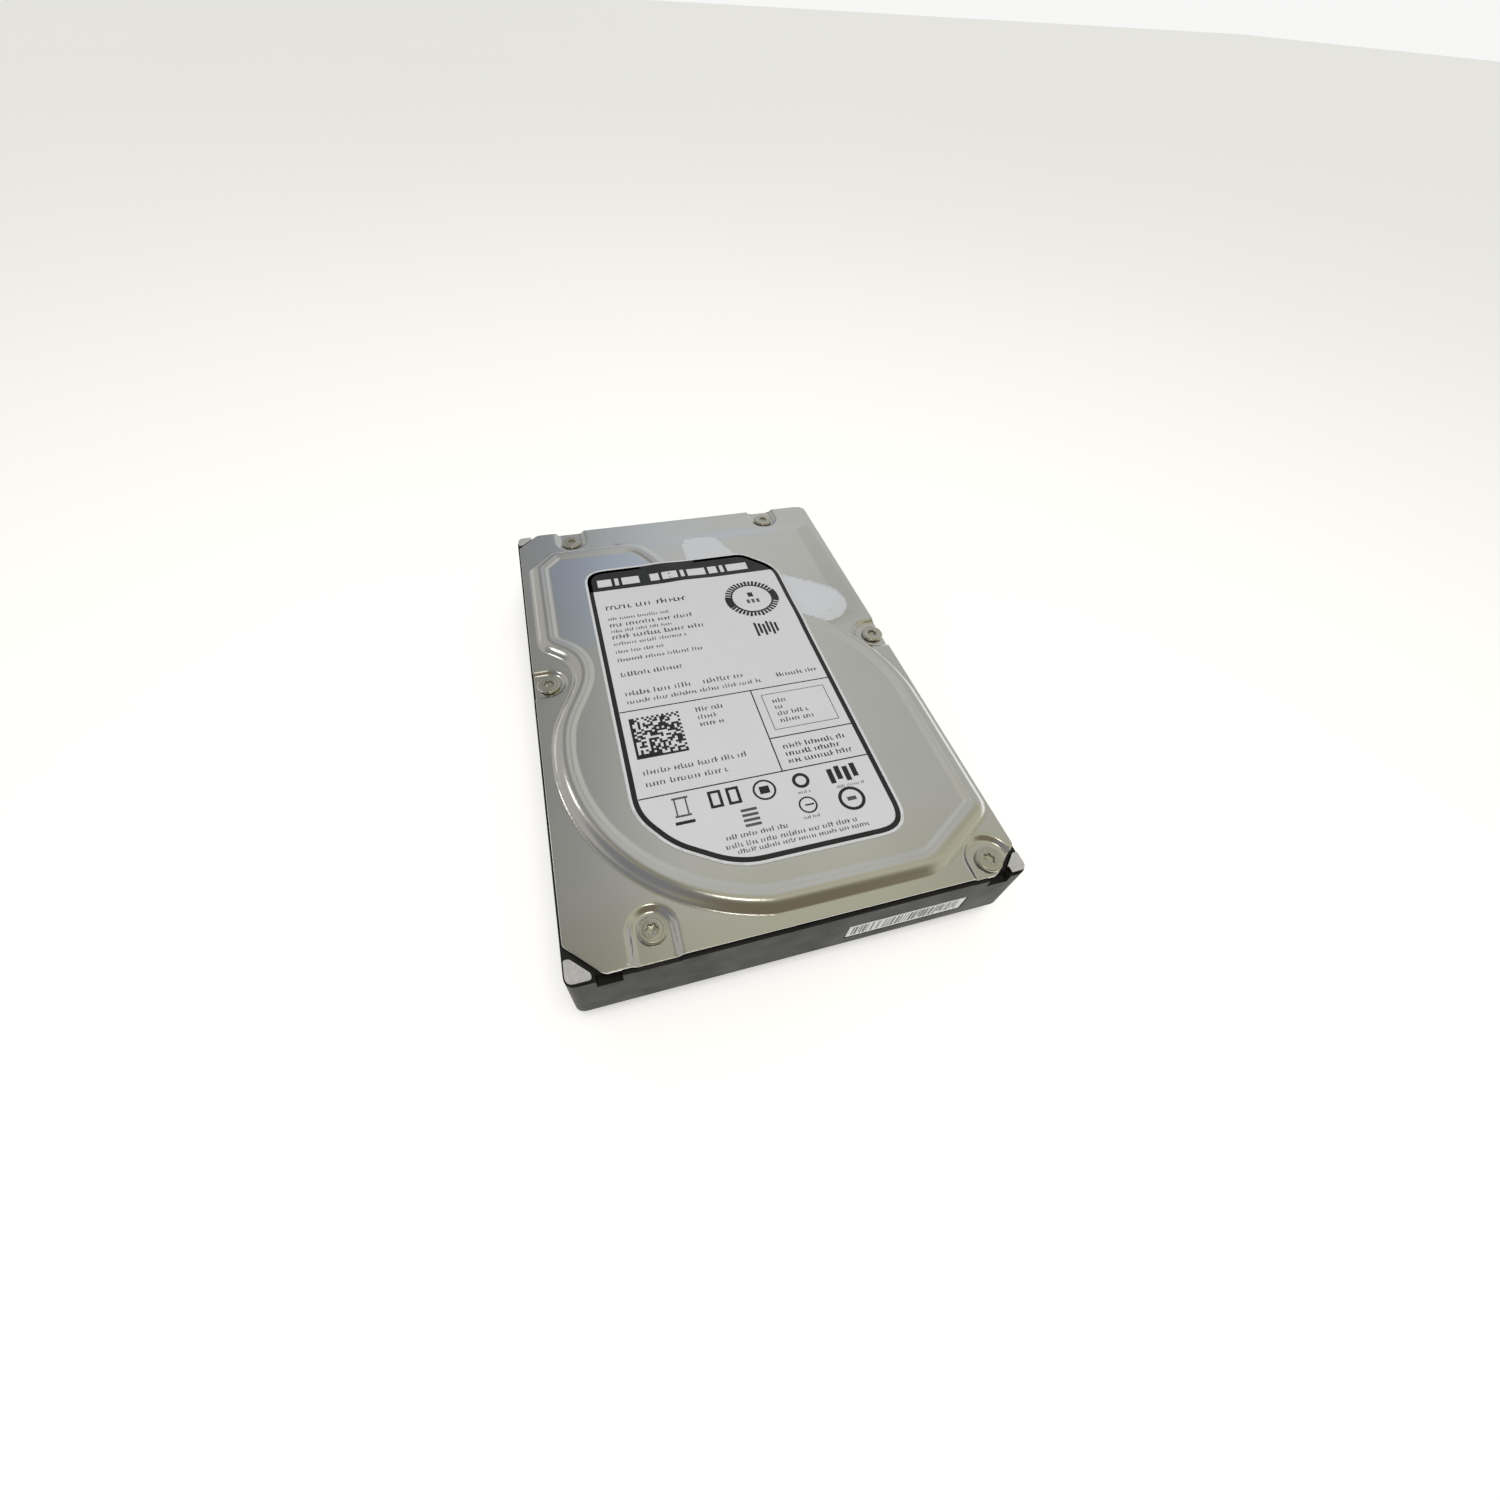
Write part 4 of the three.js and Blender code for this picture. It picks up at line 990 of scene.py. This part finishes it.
def build_board_screws():
    """Pan heads, in heights above the board's outer face."""
    top = BOARD_FACE - 0.9
    lobes = (0.14, 6)
    profile = [
        (0.02, -5.1), (0.7, -5.1), (1, -4.7), (1, 0.1), (2.15, 0.1), (2.3, 0.25), (2.3, 0.55),
        (2.2, 0.8), (1.95, 1), (1.55, top), (1.1, top), (0.98, top - 0.04, *lobes),
        (0.88, top - 0.2, *lobes), (0.85, top - 0.7, *lobes), (0.02, top - 0.75),
    ]
    for number, centre in enumerate(BOARD_SCREWS, 1):
        build_screw(f"board_screw_{number}", centre, profile, 36, hanging=True)


build_cover_screws()

# ---- board side

BOARD = {"side": 43.6, "near": -15.5, "far": 72.6, "cut": 20.2}
CHIPS = [  # x0, x1, y0, y1, how far it stands out, leads per side, pitch
    (-9, 7, 30, 46, 1.4, 24, 0.6), (14, 26, 33, 44, 1.3, 13, 0.8), (-27, -18, 4, 13, 1.2, 12, 0.65),
]
PLUG = (0.4, 41, 61)  # x0, x1 and inner y of the connector
TRACE, PAD, SOLDER, BODY, EPOXY, PRINT = range(1, 7)
BOARD_FINISHES = [
    "board_mask", "board_trace", "gold_plate", "tin_solder", "ceramic", "chip_epoxy", "board_print",
]
BUSES = [  # the turns of their middle, number of parallel lines, pitch
    ([(8.4, 36), (10.5, 36), (12.4, 37.9), (12.6, 37.9)], 11, 0.42),
    ([(4, 47.4), (4, 52), (9, 57), (9, 61)], 4, 0.8),
    ([(-2, 47.4), (-2, 55), (-5, 58), (-5, 62)], 5, 0.7),
    ([(-10.4, 34), (-16, 34), (-22, 28), (-22, 14.4)], 9, 0.55),
    ([(-17, 8), (-10, 8), (-4, 4), (-4, 3)], 4, 0.9),
    ([(-28.4, 9), (-34, 9), (-38, 13), (-38, 17)], 5, 0.6),
    ([(0, 28.6), (0, 22), (14, 8), (26, 8), (34, 16)], 8, 0.6),
    ([(27.4, 40), (33, 40), (38, 45), (38, 53)], 6, 0.55),
    ([(-10.4, 42), (-24, 42), (-34, 52), (-34, 64)], 7, 0.6),
    ([(20, 31.6), (20, 24), (31, 13), (31, 2), (28, -1)], 5, 0.7),
    ([(-22, 2.6), (-22, -3), (-29, -8)], 3, 1),
    ([(22, 45.4), (22, 50), (28, 56), (28, 61)], 6, 0.9),
]
SIZES = [(1, 0.5, 0.35), (1.6, 0.8, 0.45), (2, 1.25, 0.7)]  # length, width, height
SMALL_ROWS = [  # x and y of the first part, step in x and in y, how many, size
    (-13, 28, 0, 1.5, 7, 1), (-6, 27, 1.5, 0, 8, 1), (30, 34, 0, 1.3, 8, 1),
    (14, 47.5, 1.8, 0, 7, 1), (-32, 3, 0, 2, 5, 2), (-14, 3, 0, 2, 5, 2),
    (12, 56, 1.5, 0, 9, 0), (-27, 17, 1.8, 0, 6, 1), (8, 13, 1.6, 0, 6, 1),
    (-40, 30, 0, 2.2, 7, 2), (33, 6, 0, 1.8, 6, 1), (-20, 50, 1.7, 0, 6, 1),
]
LARGER = [  # x, y, length, width
    (-33, 36, 4.6, 3.4), (-31, 45, 4.2, 4.2), (35, 30, 3.6, 2.8), (-16, 57, 3.2, 2.5),
    (12, 24, 5.2, 3.4), (-8, 16, 3.2, 3.2), (-36, -3, 3.4, 2.8), (36, -4, 3.4, 2.8),
    (25, 17, 2.9, 2.4), (-24, 60, 4, 3),
]
LARGER_METAL = (3, 5)  # which of them are cans, not chips
TRIES = 900  # random places tried for single parts
RASTER = 1.27


def chip_leads(part, x0, x1, y0, y1, tall, count, pitch):
    """Bent leads on all four sides, from the middle of the body down to the board."""
    wide = pitch * 0.45
    bends = (
        (-0.1, 0.55, tall * 0.42, tall * 0.55), (0.45, 0.6, 0.02, tall * 0.55),
        (0.5, 1.15, 0.02, 0.14),
    )
    sides = ((x0, x1, y0, -1), (y0, y1, x1, 1), (x0, x1, y1, 1), (y0, y1, x0, -1))
    for side, (low, high, edge, out) in enumerate(sides):
        used = min(count, int((high - low - 1.2) / pitch))
        first = (low + high) / 2 - (used - 1) * pitch / 2
        for k in range(used):
            at = first + k * pitch
            for start, end, z0, z1 in bends:
                along = sorted((edge + out * start, edge + out * end))
                across = (at - wide / 2, at + wide / 2)
                part.brick(side % 2 == 0, along, across, z0, z1, SOLDER)


def surface_part(part, x, y, long, wide, tall, upright, number):
    """A two-ended part: a body between soldered ends, on two pads."""
    lie, aside = (y, x) if upright else (x, y)
    for start, end, material, grow in (
        (-0.5, -0.26, SOLDER, 0.02), (-0.26, 0.26, number, 0), (0.26, 0.5, SOLDER, 0.02),
    ):
        half = wide / 2 + grow
        along = (lie + start * long, lie + end * long)
        part.brick(upright, along, (aside - half, aside + half), 0.02, tall + grow, material, 0.05)
    for end in (-0.5, 0.5):
        cx, cy = (x, y + end * long) if upright else (x + end * long, y)
        pad = (cx - wide * 0.55, cx + wide * 0.55, cy - wide * 0.5, cy + wide * 0.5)
        part.flat(*pad, SOLDER, level=0.03)


def around(x, y, half_x, half_y):
    return (x - half_x, x + half_x, y - half_y, y + half_y)


def free_of(blocked, x, y, margin):
    """Whether a small part has room on the board at (x, y)."""
    if math.hypot(x - SPINDLE[0], y - SPINDLE[1]) < BOARD["cut"] + 1.2 + margin:
        return False
    if abs(x) >= BOARD["side"] - 1 - margin:
        return False
    if not BOARD["near"] + 1 + margin < y < BOARD["far"] - 1.5 - margin:
        return False
    return all(
        x < x0 - margin or x > x1 + margin or y < y0 - margin or y > y1 + margin
        for x0, x1, y0, y1 in blocked
    )


def add_chips(part):
    """Leads, a printed corner and a dot for each chip; returns what they take up."""
    for x0, x1, y0, y1, tall, count, pitch in CHIPS:
        chip_leads(part, x0, x1, y0, y1, tall, count, pitch)
        corner = (x0 - 1.5, y0 - 1.5)
        for end in ((x0 - 1.5, y0 - 0.6), (x0 - 0.6, y0 - 1.5)):
            part.line((corner, end), 0.15, 0.03, PRINT)
        part.disc((x0 + 1.1, y0 + 1.1), 0.45, tall + 0.01, TRACE)
    return [(x0 - 1.6, x1 + 1.6, y0 - 1.6, y1 + 1.6) for x0, x1, y0, y1, *_ in CHIPS]


def add_buses(part, rng):
    for points, lines, pitch in BUSES:
        for k in range(lines):
            shift = (k - (lines - 1) / 2) * pitch
            path = []
            for i, (x, y) in enumerate(points):
                before, after = points[max(i - 1, 0)], points[min(i + 1, len(points) - 1)]
                way = Vector((after[0] - before[0], after[1] - before[1])).normalized()
                path.append((x - way.y * shift, y + way.x * shift))
            part.line(path, pitch * 0.42, 0.015, TRACE)
            part.disc(path[-1], 0.28, 0.02, SOLDER)
            if rng.random() < 0.5:
                part.disc(path[0], 0.28, 0.02, SOLDER)


def add_small_rows(part, blocked):
    for x, y, dx, dy, count, size in SMALL_ROWS:
        for k in range(count):
            px, py = x + dx * k, y + dy * k
            if free_of(blocked, px, py, 0.6):
                body = BODY if k % 3 else EPOXY
                surface_part(part, px, py, *SIZES[size], upright=dx > 0, number=body)
        blocked.append((x - 1.2, x + dx * count + 0.6, y - 1.2, y + dy * count + 0.6))


def add_larger(part, blocked):
    for k, (x, y, long, wide) in enumerate(LARGER):
        metal = k in LARGER_METAL
        body, tall = (SOLDER, 0.8) if metal else (EPOXY, 1.25)
        part.box(*around(x, y, long / 2, wide / 2), 0.05, tall, body, 0.12)
        for end in (-1, 1):
            if not metal:
                a, b = sorted((x + end * long * 0.5, x + end * (long * 0.5 + 0.5)))
                part.box(a, b, y - wide * 0.3, y + wide * 0.3, 0.02, 0.2, SOLDER)
        blocked.append(around(x, y, long / 2 + 0.8, wide / 2 + 0.6))


def scatter(part, blocked, rng):
    """Single parts, test pads and vias in the free room."""
    for _ in range(TRIES):
        x = round(rng.uniform(-42, 42) / RASTER) * RASTER
        y = round(rng.uniform(-14, 71) / RASTER) * RASTER
        if not free_of(blocked, x, y, 0.9):
            continue
        kind = rng.random()
        if kind < 0.22:
            size = SIZES[0 if kind < 0.14 else 1]
            surface_part(part, x, y, *size, upright=rng.random() < 0.5, number=BODY)
            blocked.append(around(x, y, 1.1, 1.1))
        elif kind < 0.32:
            part.disc((x, y), 0.5, 0.02, PAD, 14)
            blocked.append(around(x, y, 0.8, 0.8))
        elif kind < 0.6:
            part.disc((x, y), 0.22, 0.02, SOLDER, 8)


def build_board_side():
    rng = random.Random(11)
    part = Part()
    blocked = [around(x, y, 3.2, 3.2) for x, y in BOARD_SCREWS]
    blocked.append((PLUG[0] - 1, PLUG[1] + 1, PLUG[2] - 0.5, 80))
    blocked += [(-9.5, -0.2, 61.5, 80), (-5.5, 5.5, -3, 6.5)]  # jumper block, motor strip
    blocked += add_chips(part)
    add_buses(part, rng)
    add_small_rows(part, blocked)
    add_larger(part, blocked)
    scatter(part, blocked, rng)
    for x, y in BOARD_SCREWS:
        part.lathe((x, y), [(1.5, 0.02), (3, 0.02), (3, 0.03), (1.5, 0.03)], PAD, 32)
    for k in range(22):  # the connector's soldered tails
        x = 3.6 + k * 1.68
        part.box(x, x + 0.5, 60.6, 62.4, 0.01, 0.16, SOLDER, 0.04)
    board = part.below(BOARD_FACE).build("board_parts", BOARD_FINISHES, smooth=30)


def build_plug_contacts():
    """Gilt fingers under both tongues of the plug, and the square jumper pins beside it."""
    part = Part()
    for x0, count in ((5.6, 7), (18.6, 15)):
        for k in range(count):
            x = x0 + k * RASTER
            far = 72.3 if k % 3 else 72.6
            part.box(x - 0.42, x + 0.42, 66.6, far, 2.93, 3.06, 0, 0.02)
    for row in (4.45, 6.15):
        for k in range(4):
            x = -7.8 + k * 2
            for half, y0, y1 in ((0.3, 69.6, 72.6), (0.2, 72.6, 72.9)):
                part.box(x - half, x + half, y0, y1, row - half, row + half)
    pins = part.build("plug_contacts", ["gold_plate"], smooth=30, bevel=0.06)


MOTOR_FACE = 3.32  # height of the motor's face, which looks down
MOTOR_RINGS = [  # profile, segments, closed
    ([(13.2, 0), (14.5, 0), (14.5, 0.22), (14.3, 0.32), (13.4, 0.32), (13.2, 0.22)], 72, True),
    ([(7.4, 0), (8.2, 0), (8.1, 0.18), (7.5, 0.18)], 56, True),
    ([(0.02, 0), (4.3, 0), (4.3, 0.42), (4.1, 0.58), (3.2, 0.64), (3, 0.5), (1.4, 0.45),
      (1.2, 0.3), (0.02, 0.28)], 48, False),
]
MOTOR_DOT = [(0.02, 0), (0.75, 0), (0.7, 0.16), (0.5, 0.22), (0.02, 0.24)]
STRIP_PATH = [  # y and z of the strip that joins the motor to the board
    (-10.4, 3.22), (-7.6, 3.18), (-6.4, 2.9), (-5.4, 2.84), (-2.6, 2.82), (-1.6, 2.5),
    (-1, 2.12), (-0.2, 1.98), (4.6, 1.98),
]
STRIP_WIRES = (-2.9, -1, 1, 2.9)


def build_motor_face():
    """Turned rings and a centre cap on the motor, and its strip."""
    part = Part()
    for profile, segments, closed in MOTOR_RINGS:
        part.lathe(SPINDLE, profile, 0, segments, closed)
    for k in range(9):
        part.lathe(polar(SPINDLE, 10.8, 20 + 40 * k), MOTOR_DOT, 0, 16, closed=False)
    motor = part.below(MOTOR_FACE).build("motor_face", ["turned_aluminium"], smooth=34)
    strip = Part()
    for x0, x1, lift, number in [
        (-4.2, 4.2, 0, 0), *((x - 0.35, x + 0.35, 0.025, 1) for x in STRIP_WIRES),
    ]:
        strip.sheet(*([(x, y, z - lift) for y, z in STRIP_PATH] for x in (x0, x1)), number)
    for x in STRIP_WIRES:
        strip.box(x - 0.65, x + 0.65, 2.2, 4.2, 1.86, 1.97, 2, 0.03)
    flex = strip.build("motor_strip", ["polyimide", "copper_wire", "tin_solder"], smooth=40)
    modify(flex, "sheet", "SOLIDIFY", thickness=0.02 * MM)


# The drive's mounting holes, by the standard of its form factor
HALF_WIDTH, HALF_LENGTH = 50.8, 73.5
SIDE_HOLES, SIDE_HEIGHT = (28.5, 70.1, 130.1), 6.35  # from the plug's end; above the rails
FOOT_HOLES, FOOT_OUT = (41.28, 85.73, 117.48), 47.625  # from that end; from the middle
THREAD_CREST, THREAD_ROOT, THREAD_PITCH, THREAD_TURNS = 1.22, 1.42, 0.38, 9


def thread_sleeve(part, place, outward):
    """Turns of thread cut in a mounting hole; outward is the hole's direction."""
    rows = [(THREAD_ROOT, 0.5)]
    for k in range(THREAD_TURNS):
        depth = THREAD_PITCH * k
        rows += [(THREAD_CREST, 0.75 + depth), (THREAD_ROOT, 0.94 + depth)]
    local = Part()
    local.lathe((0, 0), [(r, -z) for r, z in rows] + [(1.5, -rows[-1][1]), (1.5, -0.5)], 0, 28)
    turn = Vector((0, 0, 1)).rotation_difference(Vector(outward)).to_matrix()
    moved = [tuple(turn @ Vector(v) + Vector(place)) for v in local.vertices]
    part.add(moved, [tuple(reversed(face)) for face in local.faces])


RIBS_FOOT = 3.02
BOWL_ARCS = [(24.5, 0.7, 196, 344), (36.5, 0.8, 182, 358)]  # radius, half width, start, end
ARC_STEPS = 44
BOWL_EDGE = (43.8, 43)  # how far the spokes may reach in x and in y
PIN_MARK = [(0.02, 0), (1.6, 0), (1.6, 0.06), (1.45, 0.12), (0.02, 0.1)]
BOSS = [(0.02, 0), (2.4, 0), (2.3, 0.5), (2.1, 0.6), (0.9, 0.6), (0.8, 0.3), (0.02, 0.25)]


def add_spoke(part, angle):
    """A rib from the motor's rim outwards, as far as the bowl's round or flat wall."""
    turn = math.radians(angle)
    reach = (
        limit / max(0.01, abs(share))
        for limit, share in zip(BOWL_EDGE, (math.cos(turn), math.sin(turn)))
    )
    (ax, ay), (bx, by) = (polar(SPINDLE, r, angle) for r in (20.2, min(44.5, *reach)))
    way = Vector((bx - ax, by - ay)).normalized() * 0.6
    corners = [
        (ax + way.y, ay - way.x), (bx + way.y, by - way.x), (bx - way.y, by + way.x),
        (ax - way.y, ay + way.x),
    ]
    part.prism(corners, 0, 0.55, 0, 0.15)


def build_casting_detail():
    """Threads in the mounting holes, and ribs and pin marks under the casting's bowl."""
    threads = Part()
    for side in (-1, 1):
        for hole in SIDE_HOLES:
            place = (side * HALF_WIDTH, HALF_LENGTH - hole, SIDE_HEIGHT)
            thread_sleeve(threads, place, (side, 0, 0))
        for hole in FOOT_HOLES:
            thread_sleeve(threads, (side * FOOT_OUT, HALF_LENGTH - hole, 0), (0, 0, -1))
    sleeve = threads.build("hole_threads", ["turned_aluminium"], smooth=50)
    ribs = Part()
    for radius, half, start, end in BOWL_ARCS:
        outer = arc_points(SPINDLE, radius + half, start, end, ARC_STEPS)
        inner = arc_points(SPINDLE, radius - half, start, end, ARC_STEPS)
        ribs.prism(outer + inner[::-1], 0, 0.7, 0, 0.18)
    for k in range(9):
        add_spoke(ribs, 190 + 20 * k)
    for k in range(8):
        ribs.lathe(polar(SPINDLE, 30.3, 200 + 20 * k), PIN_MARK, 0, 28, closed=False)
    for x in (-38, 38):
        for y in (-60, -30):
            ribs.lathe((x, y), BOSS, 0, 32, closed=False)
    under = ribs.below(RIBS_FOOT).build("bowl_ribs", ["black_casting"], smooth=34)


build_board_side()
build_board_screws()
build_plug_contacts()
build_motor_face()
build_casting_detail()

# ---- end label, ribbon

END_LABEL = -73.46  # the plane of the bars on the near end's label


def build_end_bars():
    """Upright bars of uneven width on the label at the near end."""
    rng = random.Random(5)
    part = Part()
    x = 10.6
    while x < 37.2:
        wide = rng.choice((0.22, 0.22, 0.4, 0.6))
        foot = 10.4 if rng.random() < 0.8 else 11.6
        low, high = ([(a, END_LABEL, z) for a in (x, x + wide)] for z in (foot, 15))
        part.sheet(low, high)
        x += wide + rng.choice((0.25, 0.3, 0.5, 0.9))
    bars = part.build("end_label_bars", ["ink_grey"])


RIBBON_PATH = [(-17.3, 28.5), (-8, 42), (0, 44), (1.4, 36)]
RIBBON_STEPS = 44
RIBBON_HALF = 0.09
RIBBON_FOOT, RIBBON_TOP = 10.5, 15.5


def build_ribbon():
    """The flat cable from the actuator to its bracket."""
    path = [Vector(p) for p in RIBBON_PATH]
    part = Part()
    middle = []  # points of the cable's middle, each with the way across it
    for k in range(RIBBON_STEPS + 1):
        t = k / RIBBON_STEPS
        u = 1 - t
        weights = (u ** 3, 3 * t * u ** 2, 3 * t * t * u, t ** 3)
        at = sum((p * w for p, w in zip(path, weights)), Vector((0, 0)))
        slopes = (-3 * u ** 2, 3 * u ** 2 - 6 * t * u, 6 * t * u - 3 * t * t, 3 * t * t)
        way = sum((p * w for p, w in zip(path, slopes)), Vector((0, 0))).normalized()
        middle.append((at, Vector((-way.y, way.x))))

    def row(offset, z):
        return [(*(at + out * offset), z) for at, out in middle]

    for offset in (-RIBBON_HALF, RIBBON_HALF):
        part.sheet(row(offset, RIBBON_FOOT), row(offset, RIBBON_TOP))
    for z in (RIBBON_FOOT, RIBBON_TOP):
        part.sheet(row(-RIBBON_HALF, z), row(RIBBON_HALF, z))
    for k in range(7):
        wire = RIBBON_HALF + 0.03
        part.sheet(row(wire, 10.9 + k * 0.62), row(wire, 11.2 + k * 0.62), 1)
    ribbon = part.build("ribbon", ["polyimide", "copper_wire"], smooth=60)
    ribbon.parent = None
    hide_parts("flex_cable")
    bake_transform(ribbon)


build_end_bars()
build_ribbon()

# ---- finishes of the CAD nodes


def numbered(name, count):
    return {f"{name}_{n}": 0 for n in range(1, count + 1)}


# Each material's CAD nodes, with the width of their rounded edges
NODE_FINISHES = {
    "black_casting": {"base_casting": 0.3},
    "rubber": {"cover_gasket": 0, "inner_crash_stop": 0, "outer_crash_stop": 0},
    "label_white": {"end_barcode_label": 0},
    "turned_aluminium": {
        "motor_base": 0.15, "spindle_hub": 0.15, "actuator_block": 0.12,
        **numbered("platter_spacer", 3),
    },
    "ground_steel": {
        "spindle_shaft": 0, "pivot_shaft": 0.2, "pivot_bearing": 0, "disk_clamp": 0.2,
        **numbered("head_suspension", 8),
    },
    "nickel": {"lower_yoke": 0.2, "upper_yoke": 0.2, "lower_magnet": 0.15, "upper_magnet": 0.15},
    "platter_mirror": numbered("platter", 4),
    "copper_wire": {"motor_stator": 0.15, "voice_coil": 0.2},
    "black_plastic": {"flex_bracket": 0.3, "sata_connector": 0.15, "jumper_block": 0.2},
    "chip_epoxy": {"controller_chip": 0.12, "cache_chip": 0.12, "motor_driver_chip": 0.1},
    "polyimide": {"flex_cable": 0},
    "filter_fabric": {"recirculation_filter": 0.3},
    "latch_resin": {"actuator_latch": 0.2},
    "foam": {"board_insulator": 0},
    "board_mask": {"circuit_board": 0},
    "screw_steel": numbered("board_screw", 6),
}
for finish, nodes in NODE_FINISHES.items():
    for node, width in nodes.items():
        refine(node, finish, width)
